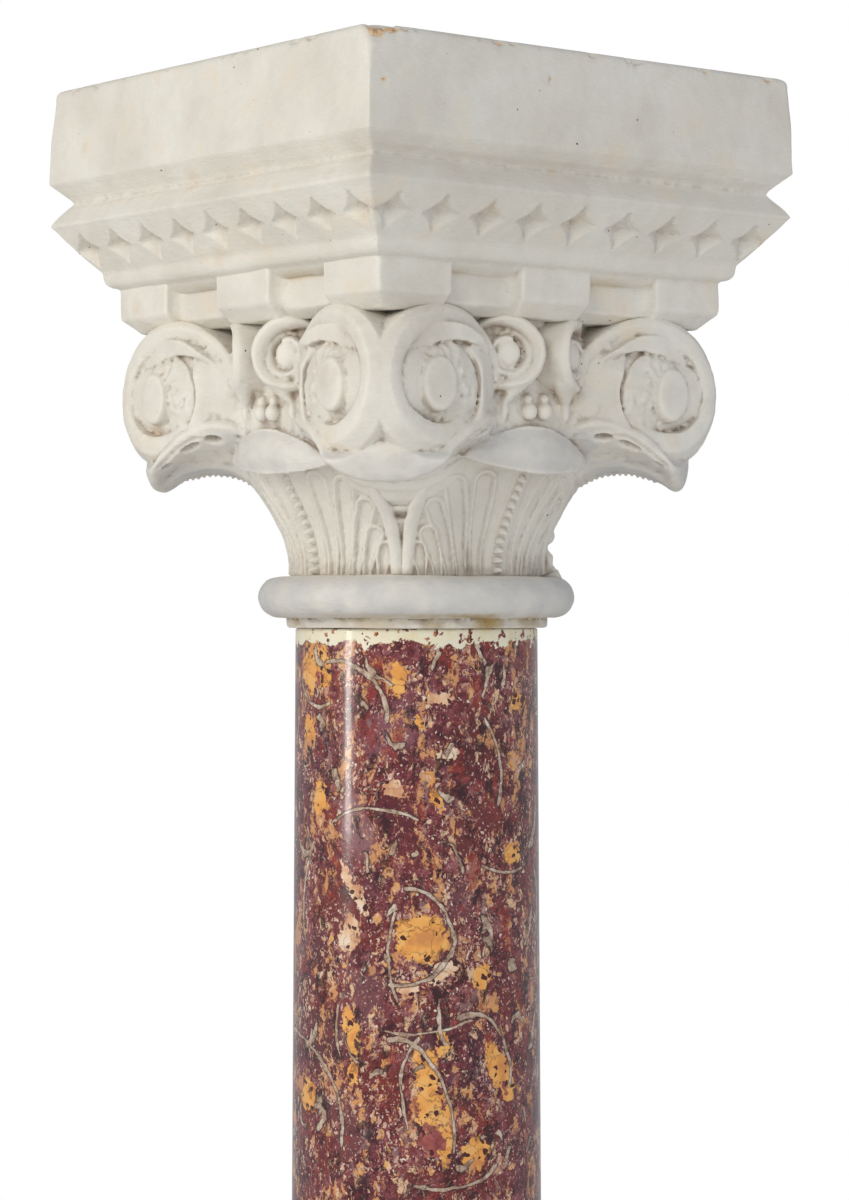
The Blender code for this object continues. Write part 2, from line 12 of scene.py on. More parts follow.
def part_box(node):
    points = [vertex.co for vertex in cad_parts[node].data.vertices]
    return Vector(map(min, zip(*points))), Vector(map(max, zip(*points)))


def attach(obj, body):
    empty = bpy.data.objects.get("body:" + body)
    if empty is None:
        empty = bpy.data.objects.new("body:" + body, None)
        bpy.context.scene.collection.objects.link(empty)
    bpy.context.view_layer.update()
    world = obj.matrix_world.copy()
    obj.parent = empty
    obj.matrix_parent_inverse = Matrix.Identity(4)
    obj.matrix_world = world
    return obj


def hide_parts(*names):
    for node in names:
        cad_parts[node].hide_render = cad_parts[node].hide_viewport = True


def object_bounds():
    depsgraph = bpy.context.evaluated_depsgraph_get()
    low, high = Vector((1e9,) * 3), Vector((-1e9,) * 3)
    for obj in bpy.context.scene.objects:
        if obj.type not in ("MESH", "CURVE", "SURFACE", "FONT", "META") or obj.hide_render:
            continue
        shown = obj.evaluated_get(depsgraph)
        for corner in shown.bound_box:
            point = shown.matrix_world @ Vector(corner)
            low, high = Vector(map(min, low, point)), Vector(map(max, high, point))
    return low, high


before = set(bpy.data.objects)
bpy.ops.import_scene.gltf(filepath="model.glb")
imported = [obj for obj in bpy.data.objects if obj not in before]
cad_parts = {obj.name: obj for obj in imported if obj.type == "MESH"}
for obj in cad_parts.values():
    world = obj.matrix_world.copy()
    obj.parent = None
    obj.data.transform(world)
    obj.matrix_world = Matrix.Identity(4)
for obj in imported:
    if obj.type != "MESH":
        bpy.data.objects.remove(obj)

cad_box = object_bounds()

# The camera's place, found from the slab's vanishing lines
CAMERA_AZIMUTH = radians(-38.7)
CAMERA_DISTANCE = 2.247
CAMERA_SIDE_STEP = 0.0055
EYE_LEVEL = 1.495
LENS = 97.9
SENSOR_WIDTH = 36

# Levels of the capital above its own foot
CAPITAL_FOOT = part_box("capital")[0].z
CAPITAL_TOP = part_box("capital")[1].z
NECK_HEIGHT = 0.007
ASTRAGAL_HEIGHT = 0.028
BELL_FOOT = 0.035
BELL_HEIGHT = 0.1744
BELL_HEAD = BELL_FOOT + BELL_HEIGHT
DENTIL_HEAD = BELL_HEAD + 0.0245
OVOLO_HEAD = DENTIL_HEAD + 0.0118
RIDGE_LEVEL = OVOLO_HEAD + 0.0328
GROOVE_LEVEL = RIDGE_LEVEL + 0.0162
SLAB_FOOT = GROOVE_LEVEL + 0.0123
SLAB_TOP = CAPITAL_TOP - CAPITAL_FOOT

# Radii and half sides of the capital
NECK_RADIUS = 0.090
ASTRAGAL_RADIUS = 0.109
BELL_FOOT_RADIUS = 0.0845
BELL_HEAD_RADIUS = 0.1235
DENTIL_FACE = 0.1475
DENTIL_MODULE = DENTIL_FACE * 2 / 5
OVOLO_FACE = 0.1565
RIDGE_FACE = 0.1825
GROOVE_FACE = 0.171
SLAB_FACE = 0.1835
SLAB_BATTER = 0.002
RECESS_DEPTH = 0.013
CHANNEL_DEPTH = 0.0114

# Palmettes, volutes, helices, leaves and stars; shares are of the bell's height
LOBE_RIM = 0.0030
LOBE_DEPTH = 0.0062
STEM_PROUD = 0.0046
VOLUTE_RADIUS = 0.0384
VOLUTE_SHARE = 0.70
VOLUTE_EYE_ALONG = 0.1015
VOLUTE_EYE_HALF_WIDTH = 0.0142
VOLUTE_EYE_HALF_HEIGHT = 0.0178
VOLUTE_FACE = 0.1505
VOLUTE_BEVEL = 0.0085
HELIX_RADIUS = 0.0240
HELIX_ALONG = 0.0255
HELIX_SHARE = 0.832
HELIX_SEAT = 0.1255
HELIX_YAW = radians(24)
CORNER_LEAF_REACH = 0.187
CORNER_LEAF_HALF_WIDTH = 0.045
FACE_LEAF_HALF_LENGTH = 0.053
BEAD_PITCH = 0.0066
STAR_PITCH = 0.0383
STAR_COUNT = 9
STAR_HALF_WIDTH = 0.0165
STAR_HALF_HEIGHT = 0.0160
STAR_DEPTH = 0.0078
STAR_MIDDLE = 0.0190

# Shaft and base
SHAFT_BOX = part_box("shaft")
SHAFT_FOOT_RADIUS = 0.0905
SHAFT_HEAD_RADIUS = 0.0832
SHAFT_SEEN_RADIUS = 0.0855
SWELLING = 1.214
BASE_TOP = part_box("base")[1].z
PLINTH_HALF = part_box("base")[1].x
PLINTH_HEIGHT = 0.050

# Fineness of the carved meshes
VOXEL = 0.00105
BAND_VOXEL = 0.0015
BASE_VOXEL = 0.0020
FOLIAGE_TRIANGLES = 190000
BAND_TRIANGLES = 90000
BASE_TRIANGLES = 80000
BELL_STEPS = 720
CORNICE_STEPS = 236
FACES = 4

# The cornice's slope: its rings, and the place of its first ring in the profile, after the ovolo's
SLOPE_STEPS = 28
SLOPE_START = 9

# How hollows are found: half the number of rays, their reach, and rounds of smoothing
RAYS = 14
SHELTER_REACH = 0.045
CREASE_ROUNDS = 6


def srgb(code):
    """Turn an sRGB hex value to linear colour."""
    values = [int(code[place:place + 2], 16) / 255 for place in (1, 3, 5)]
    return tuple(v / 12.92 if v <= 0.04045 else ((v + 0.055) / 1.055) ** 2.4 for v in values) + (1.0,)


def add(tree, kind, inputs=None, stops=None, **settings):
    """Add a node: settings are its properties, inputs are its values or the sockets that feed it."""
    node = tree.nodes.new(kind)
    for name, value in settings.items():
        setattr(node, name, value)
    for name, value in (inputs or {}).items():
        if isinstance(value, bpy.types.NodeSocket):
            tree.links.new(value, node.inputs[name])
        else:
            node.inputs[name].default_value = value
    if stops:
        elements = node.color_ramp.elements
        while len(elements) < len(stops):
            elements.new(0.5)
        for element, (place, colour) in zip(elements, stops):
            element.position = place
            element.color = srgb(colour)
    return node


def smoothstep(value, low, high):
    """Rise from 0 to 1 between low and high, for numbers and arrays."""
    part = np.clip((value - low) / (high - low), 0.0, 1.0)
    return part * part * (3 - 2 * part)


def follow(values, place):
    """Return the value at a place from 0 to len - 1 on a smooth curve through the values."""
    last = len(values) - 1
    index = min(int(place), last - 1)
    part = place - index
    before = values[max(index - 1, 0)]
    start = values[index]
    end = values[index + 1]
    after = values[min(index + 2, last)]
    slope_in = (end - before) / 2
    slope_out = (after - start) / 2
    square = part * part
    cube = square * part
    return ((2 * cube - 3 * square + 1) * start + (cube - 2 * square + part) * slope_in
            + (3 * square - 2 * cube) * end + (cube - square) * slope_out)


def arc(centre_x, centre_z, radius_x, radius_z, start, end, steps):
    """Return points on an elliptic arc, in degrees, both ends included."""
    angles = [radians(start + (end - start) * step / steps) for step in range(steps + 1)]
    return [(centre_x + radius_x * cos(angle), centre_z + radius_z * sin(angle)) for angle in angles]


def on_face(along, depth, height):
    """A point by its place along the front face, its distance from the axis and its height."""
    return (along, -depth, height)


def on_corner(out, across, height):
    """A point on the diagonal between the front face and the one on its right."""
    diagonal = sqrt(0.5)
    return ((out + across) * diagonal, (across - out) * diagonal, height)


def bell_level(share):
    """Height at a share of the bell."""
    return BELL_FOOT + share * BELL_HEIGHT


def bell_radius(share):
    """The bell's radius at a share of its height."""
    return BELL_FOOT_RADIUS + (BELL_HEAD_RADIUS - BELL_FOOT_RADIUS) * smoothstep(share, 0.05, 0.60)


def ring_form(rings):
    """Points and faces of a closed form through rings of equal count."""
    count = len(rings[0])
    points = np.array(rings, dtype=float).reshape(-1, 3)
    faces = []
    for row in range(len(rings) - 1):
        low = row * count
        high = low + count
        for index in range(count):
            after = (index + 1) % count
            faces.append((low + index, low + after, high + after, high + index))
    faces.append(tuple(range(count - 1, -1, -1)))
    last = (len(rings) - 1) * count
    faces.append(tuple(range(last, last + count)))
    return points, faces


def turned_form(profile, steps):
    """A closed form turned about the axis from a profile of (radius, height)."""
    rings = []
    for radius, height in profile:
        angles = [2 * pi * step / steps for step in range(steps)]
        rings.append([(radius * cos(angle), radius * sin(angle), height) for angle in angles])
    return ring_form(rings)


def round_form(centre, radii, lean=0.0):
    """An egg shape about a centre, its head leant along X by a share of its height."""
    rings = []
    for row in range(1, 10):
        angle = pi * row / 10
        ring = []
        for step in range(16):
            turn = 2 * pi * step / 16
            rise = -radii[2] * cos(angle)
            ring.append((centre[0] + radii[0] * sin(angle) * cos(turn) + lean * rise,
                         centre[1] + radii[1] * sin(angle) * sin(turn), centre[2] + rise))
        rings.append(ring)
    return ring_form(rings)


def quarter_turned(points, turns):
    """Turn points about the axis by quarter turns."""
    c, s = ((1, 0), (0, 1), (-1, 0), (0, -1))[turns % 4]
    return np.column_stack((c * points[:, 0] - s * points[:, 1], s * points[:, 0] + c * points[:, 1],
                            points[:, 2]))


def on_all_faces(form, mirrored=False):
    """Repeat a form on the four faces, and on the other half of each if mirrored."""
    points, faces = form
    copies = [(quarter_turned(points, turns), faces) for turns in range(FACES)]
    if mirrored:
        other = points * np.array((-1.0, 1.0, 1.0))
        flipped = [tuple(reversed(face)) for face in faces]
        copies += [(quarter_turned(other, turns), flipped) for turns in range(FACES)]
    return copies


def joined_mesh(name, forms):
    """One mesh out of many forms."""
    points = []
    faces = []
    start = 0
    for form_points, form_faces in forms:
        points.append(form_points)
        faces += [tuple(start + index for index in face) for face in form_faces]
        start += len(form_points)
    mesh = bpy.data.meshes.new(name)
    mesh.from_pydata(np.concatenate(points).tolist(), [], faces)
    return mesh


def link(name, mesh):
    """Put a mesh in the scene as an object."""
    thing = bpy.data.objects.new(name, mesh)
    bpy.context.scene.collection.objects.link(thing)
    return thing


def settle(thing):
    """Make the modifiers' result the object's own mesh."""
    evaluated = thing.evaluated_get(bpy.context.evaluated_depsgraph_get())
    mesh = bpy.data.meshes.new_from_object(evaluated)
    thing.modifiers.clear()
    thing.data = mesh
    mesh.name = thing.name
    return mesh


def fuse(thing, voxel, rounding):
    """Fuse overlapping forms to one skin and soften its arrises as old paint does."""
    remesh = thing.modifiers.new("One skin", "REMESH")
    remesh.mode = "VOXEL"
    remesh.voxel_size = voxel
    remesh.use_smooth_shade = True
    soften = thing.modifiers.new("Paint-filled arrises", "SMOOTH")
    soften.factor = 0.5
    soften.iterations = rounding
    return settle(thing)


def thin_out(thing, triangles):
    """Bring a mesh under a number of triangles."""
    count = sum(len(face.vertices) - 2 for face in thing.data.polygons)
    if count > triangles:
        thinner = thing.modifiers.new("Fewer faces", "DECIMATE")
        thinner.ratio = triangles / count
        settle(thing)


def read_points(mesh):
    """Places and normals of a mesh's vertices."""
    count = len(mesh.vertices)
    places = np.empty(count * 3)
    normals = np.empty(count * 3)
    mesh.vertices.foreach_get("co", places)
    mesh.vertices.foreach_get("normal", normals)
    return places.reshape(-1, 3), normals.reshape(-1, 3)


def write_points(mesh, places):
    """Put vertices in new places."""
    mesh.vertices.foreach_set("co", places.astype(np.float32).ravel())
    mesh.update()


def field(places, size, seed):
    """Smooth noise from -1 to 1 at each place, with features of a size in metres."""
    shift = Vector((seed * 7.31, seed * 3.17, seed * 5.79))
    scale = 1 / size
    return np.array([noise.noise(Vector(place) * scale + shift) for place in places])


def hand_worked(mesh, strokes):
    """Move the surface in and out by noise: pairs of feature size and height."""
    places, normals = read_points(mesh)
    lift = np.zeros(len(places))
    for seed, (size, height) in enumerate(strokes, 1):
        lift += height * field(places, size, seed)
    write_points(mesh, places + normals * lift[:, None])


def store(mesh, name, values):
    """Keep a number at each vertex for the material."""
    layer = mesh.attributes.new(name, "FLOAT", "POINT")
    layer.data.foreach_set("value", np.clip(values, 0.0, 1.0).astype(np.float32))


def crease_depth(mesh, rounds, scale):
    """How far each vertex lies below its smoothed surroundings, from 0 to 1."""
    places, normals = read_points(mesh)
    edges = np.empty(len(mesh.edges) * 2, dtype=np.int64)
    mesh.edges.foreach_get("vertices", edges)
    one, other = edges.reshape(-1, 2).T
    count = len(places)
    share = np.bincount(one, minlength=count) + np.bincount(other, minlength=count)
    share = np.maximum(share, 1)
    soft = places.copy()
    for _ in range(rounds):
        total = np.empty_like(soft)
        for axis in range(3):
            total[:, axis] = (np.bincount(one, soft[other, axis], count)
                              + np.bincount(other, soft[one, axis], count))
        soft = total / share[:, None]
    hollow = np.einsum("ij,ij->i", soft - places, normals)
    return hollow / scale


def shelter(mesh, reach):
    """Share of the sky that nearby stone hides from each vertex."""
    mesh.calc_loop_triangles()
    triangles = np.empty(len(mesh.loop_triangles) * 3, dtype=np.int64)
    mesh.loop_triangles.foreach_get("vertices", triangles)
    places, normals = read_points(mesh)
    tree = BVHTree.FromPolygons(places.tolist(), triangles.reshape(-1, 3).tolist())
    golden = pi * (3 - sqrt(5))
    directions = []
    for ray in range(RAYS * 2):
        height = 1 - (ray + 0.5) / RAYS
        flat = sqrt(max(1 - height * height, 0.0))
        directions.append(Vector((flat * cos(golden * ray), flat * sin(golden * ray), height)))
    hidden = np.zeros(len(places))
    for index, (place, normal) in enumerate(zip(places, normals)):
        facing = Vector(normal)
        start = Vector(place) + facing * 0.0008
        open_sky = 0.0
        total = 0.0
        for direction in directions:
            weight = direction.dot(facing)
            if weight < 0.08:
                continue
            total += weight
            hit = tree.ray_cast(start, direction, reach)
            open_sky += weight if hit[0] is None else weight * (hit[3] / reach) ** 2 * 0.6
        hidden[index] = 1 - open_sky / max(total, 0.01)
    return hidden


def lobes_relief(side, share, radii):
    """The palmette's hollow lobes with raised rims, by the angle from a face's middle."""
    # Lobes: angle at the foot, angle at the head, bell share of the head, half width at the head
    lobes = ((11.4, 13.9, 0.392, 0.0069), (18.2, 24.8, 0.374, 0.0065), (23.6, 31.6, 0.290, 0.0058),
             (29.0, 33.6, 0.188, 0.0053), (36.0, 38.0, 0.128, 0.0050))
    relief = np.zeros_like(side)
    for foot, head, top, half in lobes:
        reach = top - half / BELL_HEIGHT
        rise = np.clip(share / reach, 0.0, 1.0)
        centre = foot + (head - foot) * rise ** 1.5
        width = half * (0.46 + 0.54 * smoothstep(rise, 0.0, 0.95))
        sideways = (side - centre) * (pi / 180) * radii
        upwards = np.maximum(share - reach, 0.0) * BELL_HEIGHT
        distance = np.hypot(sideways, upwards) / width
        rim = np.exp(-((distance - 1.0) / 0.34) ** 2) * LOBE_RIM
        bowl = -LOBE_DEPTH * np.clip(1 - (distance / 0.92) ** 2, 0.0, 1.0) ** 0.9
        relief = np.where(distance < 1.0, bowl + rim, np.maximum(relief, rim))
    return relief


def palmette_relief(angles, heights, radii):
    """Height of the bell's leaf carving over its plain surface; angles run from a face's middle."""
    side = np.abs(angles)
    share = (heights - BELL_FOOT) / BELL_HEIGHT
    arc_length = side * (pi / 180) * radii
    relief = lobes_relief(side, share, radii)
    panel = (1 - smoothstep(arc_length, 0.0085, 0.0105)) * (1 - smoothstep(share, 0.40, 0.43))
    relief = np.maximum(relief, 0.0012 * panel)
    # Stem: its angle and half width at shares of the bell
    levels = (0.0, 0.10, 0.19, 0.27, 0.344, 0.40, 0.447, 0.50)
    stem_angle = np.interp(share, levels, (43.0, 42.2, 41.0, 38.4, 34.8, 31.0, 27.0, 20.5))
    stem_half = np.interp(share, levels, (0.0042, 0.0046, 0.0050, 0.0050, 0.0046, 0.0042, 0.0038, 0.0034))
    across = (side - stem_angle) * (pi / 180) * radii / stem_half
    stem = np.clip(1 - across * across, 0.0, 1.0) ** 0.45 * STEM_PROUD
    relief = np.where((share < 0.5) & (np.abs(across) < 1.0), np.maximum(relief, stem), relief)
    # Between the stems the corner leaf's back stands as a row of soft bumps, 8.5 mm apart
    gap = smoothstep(side - stem_angle, 1.5, 4.0) * smoothstep(share, 0.17, 0.24)
    near_corner = np.clip(1 - ((45 - side) / 7.0) ** 2, 0.0, 1.0)
    bumps = 0.0030 * np.sin(share * BELL_HEIGHT * 2 * pi / 0.0085) * near_corner
    relief += gap * (bumps - 0.0012)
    return relief * smoothstep(share, -0.01, 0.01) * (1 - smoothstep(share, 0.50, 0.56))


def bell_form():
    """The bell with its palmettes, stems and hollow lobes."""
    angles = np.arange(BELL_STEPS) * 360 / BELL_STEPS
    turned = np.radians(angles)
    from_middle = (angles + 45) % 90 - 45
    # Close rings where the carving is, and wide ones in the hidden part above it
    shares = np.concatenate((np.linspace(-0.02, 0.56, 108), np.linspace(0.60, 1.06, 10)))
    rings = []
    for share in shares:
        height = bell_level(share)
        radius = float(bell_radius(share))
        heights = np.full(BELL_STEPS, height)
        radii = radius + palmette_relief(from_middle, heights, np.full(BELL_STEPS, radius))
        rings.append(np.column_stack((radii * np.sin(turned), -radii * np.cos(turned), heights)))
    return ring_form(rings)


def neck_form():
    """The neck fillet and the astragal ring."""
    half = ASTRAGAL_HEIGHT / 2
    profile = [(NECK_RADIUS - 0.002, 0.0)]
    profile += [(NECK_RADIUS, 0.0010 + 0.0010 * step) for step in range(7)]
    profile += arc(ASTRAGAL_RADIUS - half, NECK_HEIGHT + half, half, half, -90, 90, 24)
    profile.append((BELL_FOOT_RADIUS - 0.006, BELL_FOOT + 0.001))
    return turned_form(profile, 256)


def square_ring(half, height):
    """A square about the axis at a height."""
    return [(half, -half, height), (half, half, height), (-half, half, height), (-half, -half, height)]


def middle_block(core, levels, flare):
    """The block in the middle of a side of the dentil band."""
    half = DENTIL_MODULE / 2
    rings = []
    for inset, height in levels:
        front = [(half - inset * 0.25 + out, DENTIL_FACE - inset - back) for out, back in flare]
        outline = [(-along, depth) for along, depth in reversed(front)] + front
        outline += [(front[-1][0], core - 0.02), (-front[-1][0], core - 0.02)]
        rings.append([on_face(along, depth, height) for along, depth in outline])
    return ring_form(rings)


def corner_block(core, levels, flare):
    """The block on a corner of the dentil band."""
    inner = DENTIL_MODULE * 1.5
    rings = []
    for inset, height in levels:
        flat = DENTIL_FACE - inset
        outline = [(inner + inset * 0.25 - out, flat - back) for out, back in reversed(flare)]
        outline += [(flat - 0.004, flat), (flat - 0.0012, flat - 0.0004)]
        mirrored = [(depth, along) for along, depth in reversed(outline)]
        hidden = [(core - 0.03, inner - 0.012), (inner - 0.012, core - 0.03)]
        rings.append([on_face(along, depth, height) for along, depth in outline + mirrored + hidden])
    return ring_form(rings)


def band_forms():
    """The dentil band: a plain core with corner blocks and middle blocks that flare at their roots."""
    core = DENTIL_FACE - RECESS_DEPTH * 0.8
    under = BELL_HEAD - 0.0066
    top = DENTIL_HEAD + 0.004
    body = ((core * 0.93, under), (core, BELL_HEAD), (core, top))
    forms = [ring_form([square_ring(half, height) for half, height in body])]
    # How far a block draws in at each level, and its side's flare: outwards and back
    levels = ((0.0110, under), (0.0035, BELL_HEAD + 0.001), (0.0008, BELL_HEAD + 0.0035),
              (0.0, BELL_HEAD + 0.006), (0.0, top))
    flare = [(0.0000, 0.000), (0.0006, 0.0030), (0.0024, 0.0065), (0.0056, 0.0090), (0.0110, 0.0103)]
    forms += on_all_faces(middle_block(core, levels, flare))
    forms += on_all_faces(corner_block(core, levels, flare))
    return forms


def core_form():
    """The bell's body inside the leaves, set back behind the palmettes."""
    profile = []
    for step in range(30):
        share = 0.34 + 0.66 * step / 29
        set_back = 0.0065 * (1 - smoothstep(share, 0.46, 0.56))
        profile.append((float(bell_radius(share)) - set_back, bell_level(share)))
    return turned_form(profile, 160)


def block_form():
    """The body behind the volutes, hollow along each face and following their round outline."""
    centre = bell_level(0.71)
    wall = DENTIL_FACE - CHANNEL_DEPTH
    steps = 28
    rings = []
    for row in range(steps + 1):
        angle = radians(-88 + 176 * row / steps)
        reach = min(VOLUTE_EYE_ALONG + VOLUTE_RADIUS * cos(angle), wall)
        rings.append(block_ring(reach, centre + VOLUTE_RADIUS * sin(angle)))
    rings.append(block_ring(VOLUTE_EYE_ALONG + 0.004, BELL_HEAD))
    return ring_form(rings)


def block_ring(reach, height):
    """One level of the body behind the volutes."""
    ring = []
    for turns in range(FACES):
        side = []
        for step in range(24):
            share = -1 + step / 12
            depth = BELL_HEAD_RADIUS + (reach - BELL_HEAD_RADIUS) * share * share
            side.append(on_face(share * reach, min(depth, reach), height))
        ring += quarter_turned(np.array(side), turns).tolist()
    return ring


def volute_radius(angle):
    """Outer radius of the ribbon about the eye; the angle falls as the spiral winds in."""
    # Share of the volute's radius at each eighth of a turn
    shares = (1.88, 1.51, 1.21, 1.07, 1.0, 0.99, 1.0, 0.99, 0.95)
    return VOLUTE_RADIUS * follow(shares, (180 - angle) / 45)


def volute_form():
    """The volute's ribbon, from the trunk over the top and round the eye to the trunk side again."""
    # At each quarter turn, as shares of the radius: width and set-back of its face; and share of the bevel
    widths = (0.26, 0.30, 0.26, 0.31, 0.14)
    set_backs = (0.56, 0.13, 0.0, 0.0, 0.30)
    bevels = (0.3, 0.5, 1.0, 0.9, 0.20)
    back = VOLUTE_EYE_ALONG - 0.004
    rings = []
    for step in range(86):
        angle = 176 - 4 * step
        place = (180 - angle) / 90
        outer = volute_radius(angle)
        width = VOLUTE_RADIUS * follow(widths, place)
        inner = outer - width
        face = VOLUTE_FACE - VOLUTE_RADIUS * follow(set_backs, place)
        bevel = VOLUTE_BEVEL * follow(bevels, place)
        crown = 0.0012
        section = [(outer + bevel, back), (outer + bevel, face - bevel), (outer, face - crown * 0.4)]
        section += [(outer - width * 0.3, face), (outer - width * 0.7, face), (inner, face - crown)]
        section += [(inner - 0.0008, face - 0.006), (inner * 0.97, back)]
        rings.append(about_eye(angle, section))
    return ring_form(rings)


def about_eye(angle, section):
    """Points of a section, given by reach and depth, at an angle about the volute's eye."""
    turn = radians(angle)
    level = bell_level(VOLUTE_SHARE)
    return [on_face(VOLUTE_EYE_ALONG + reach * cos(turn), depth, level + reach * sin(turn))
            for reach, depth in section]


def coil_form():
    """The volute's inner turn, left rough, which slopes up from its outer edge to the eye."""
    # At stops along it, as shares of the radius: its outer edge, and how deep its edge and its crown lie
    outers = (0.80, 0.98, 0.99, 0.86, 0.64, 0.51, 0.41)
    lows = (0.26, 0.24, 0.21, 0.23, 0.28, 0.30, 0.30)
    highs = (0.20, 0.12, 0.06, 0.06, 0.08, 0.09, 0.10)
    rings = []
    steps = 66
    for step in range(steps + 1):
        angle = -96 - 4 * step
        place = 6 * step / steps
        outer = VOLUTE_RADIUS * follow(outers, place)
        low = VOLUTE_FACE - VOLUTE_RADIUS * follow(lows, place)
        high = VOLUTE_FACE - VOLUTE_RADIUS * follow(highs, place)
        section = [(outer, VOLUTE_EYE_ALONG), (outer + 0.0004, low)]
        for part in (0.06, 0.2, 0.35, 0.5, 0.65, 0.8, 0.92):
            reach = outer + (0.0145 - outer) * part
            rough = 0.0022 * noise.noise(Vector((angle / 9, reach * 260, 0.5)))
            section.append((reach, low + (high - low) * sin(part * pi * 0.62) + rough))
        section += [(0.0140, high - 0.0035), (0.0100, high - 0.0035), (0.0100, VOLUTE_EYE_ALONG)]
        rings.append(about_eye(angle, section))
    return ring_form(rings)


def channel_form():
    """The floor of the volute's channel."""
    # How deep it lies under the volute's face at each eighth of a turn
    depths = (0.0110, 0.0120, 0.0140, 0.0150, 0.0156, 0.0162, 0.0160, 0.0140, 0.0110)
    rings = []
    for share, deep in ((1.14, None), (1.14, 0.0), (0.7, 0.0), (0.3, 0.0)):
        ring = []
        for step in range(48):
            angle = 180 - 7.5 * step
            depth = VOLUTE_EYE_ALONG if deep is None else VOLUTE_FACE - follow(depths, (180 - angle) / 45)
            ring += about_eye(angle, [(VOLUTE_RADIUS * share, depth)])
        rings.append(ring)
    return ring_form(rings)


def trunk_depth(along):
    """How far out the trunk's surface stands at a place along the face."""
    depth = VOLUTE_FACE - 0.0052 - 0.0150 * smoothstep(0.066 - along, 0.0, 0.030)
    return float(depth - 0.0080 * smoothstep(0.044 - along, 0.0, 0.016))


def trunk_form():
    """The smooth trunk beside the coil, which the ribbon grows out of."""
    # It ends on a straight side, and below on a level foot, at these distances from the eye
    side = 0.0715
    foot = 0.0275
    rings = []
    steps = 30
    for step in range(steps + 1):
        share = step / steps
        angle = 216 - 72 * share
        turn = radians(angle)
        near = VOLUTE_RADIUS * follow((1.05, 1.07, 1.07, 1.05, 1.03), 4 * share)
        if angle > 178:
            far = min(side / -cos(turn), foot / max(-sin(turn), 0.01))
        else:
            far = volute_radius(min(angle, 176)) - 0.004
        far = max(far, near + 0.005)
        section = [(near - 0.0006, VOLUTE_EYE_ALONG)]
        for part in (0.0, 0.04, 0.2, 0.4, 0.6, 0.8, 1.0):
            reach = near + (far - near) * part
            along = VOLUTE_EYE_ALONG + reach * cos(turn)
            seam = 0.0014 if part == 0 else 0.0
            depth = trunk_depth(along) - seam - 0.0050 * smoothstep(share, 0.70, 1.0)
            section.append((reach, float(depth)))
        section.append((far, VOLUTE_EYE_ALONG))
        rings.append(about_eye(angle, section))
    return ring_form(rings)


def volute_eye_form():
    """The egg-shaped button in the volute's middle."""
    sides = 40
    rings = []
    along = VOLUTE_EYE_ALONG - 0.0010
    level = bell_level(VOLUTE_SHARE) - 0.0006
    # Share of its size at each depth, from its hidden foot to its crown
    for share, depth in ((1.25, VOLUTE_EYE_ALONG), (1.06, VOLUTE_FACE - 0.010), (1.0, VOLUTE_FACE - 0.003),
                         (0.95, VOLUTE_FACE + 0.0002), (0.85, VOLUTE_FACE + 0.0014),
                         (0.5, VOLUTE_FACE + 0.0018)):
        ring = []
        for side in range(sides):
            turn = 2 * pi * side / sides
            ring.append(on_face(along + VOLUTE_EYE_HALF_WIDTH * share * cos(turn), depth,
                                level + VOLUTE_EYE_HALF_HEIGHT * share * sin(turn)))
        rings.append(ring)
    return ring_form(rings)


def ledge_form():
    """The second layer under the volute's upper ribbon, with a ragged lower edge."""
    rings = []
    steps = 36
    for step in range(steps + 1):
        share = step / steps
        angle = 158 - 112 * share
        ribbon = VOLUTE_RADIUS * follow((0.26, 0.30, 0.26), (180 - angle) / 90)
        outer = volute_radius(angle) - ribbon + 0.002
        rag = 0.0012 * noise.noise(Vector((share * 14, 0.3, 0.7)))
        inner = outer - 0.0028 - 0.0100 * sin(pi * share) ** 0.8 - rag
        along = VOLUTE_EYE_ALONG + inner * cos(radians(angle))
        sunk = 0.0012 * (1 - float(smoothstep(share, 0.0, 0.3)))
        face = min(VOLUTE_FACE - 0.0046, trunk_depth(along) - sunk)
        section = ((outer, VOLUTE_EYE_ALONG), (outer, face), ((outer + inner) / 2, face - 0.0003),
                   (inner, face - 0.0008), (inner - 0.0003, VOLUTE_EYE_ALONG))
        rings.append(about_eye(angle, section))
    return ring_form(rings)


def on_scroll(across, out, up):
    """A point of a helix by its place across its own face, out of it and up."""
    return on_face(HELIX_ALONG + across * cos(HELIX_YAW) + out * sin(HELIX_YAW),
                   HELIX_SEAT - across * sin(HELIX_YAW) + out * cos(HELIX_YAW), bell_level(HELIX_SHARE) + up)


def scroll_band(start, end, radii, widths, fronts, steps):
    """A band about the helix's boss from one angle to another, with its radius, width and front at stops."""
    rings = []
    last = len(radii) - 1
    for step in range(steps + 1):
        place = last * step / steps
        angle = radians(start + (end - start) * step / steps)
        outer = HELIX_RADIUS * follow(radii, place)
        width = HELIX_RADIUS * follow(widths, place)
        front = follow(fronts, place)
        section = [(outer + 0.0015, -0.022), (outer + 0.001, front - 0.0035), (outer - width * 0.18, front)]
        section += [(outer - width * 0.45, front - 0.0003), (outer - width * 0.80, front - 0.0022)]
        section += [(outer - width, front - 0.0050), (outer - width, -0.022)]
        rings.append([on_scroll(reach * cos(angle), out, reach * sin(angle)) for reach, out in section])
    return ring_form(rings)


def scroll_disc(radius, levels, sides, squash=1.0):
    """A disc on the helix's face, by shares of its radius and how far each stands out."""
    rings = []
    for share, out in levels:
        ring = []
        for side in range(sides):
            turn = 2 * pi * side / sides
            ring.append(on_scroll(radius * share * cos(turn) * squash, out, radius * share * sin(turn)))
        rings.append(ring)
    return ring_form(rings)


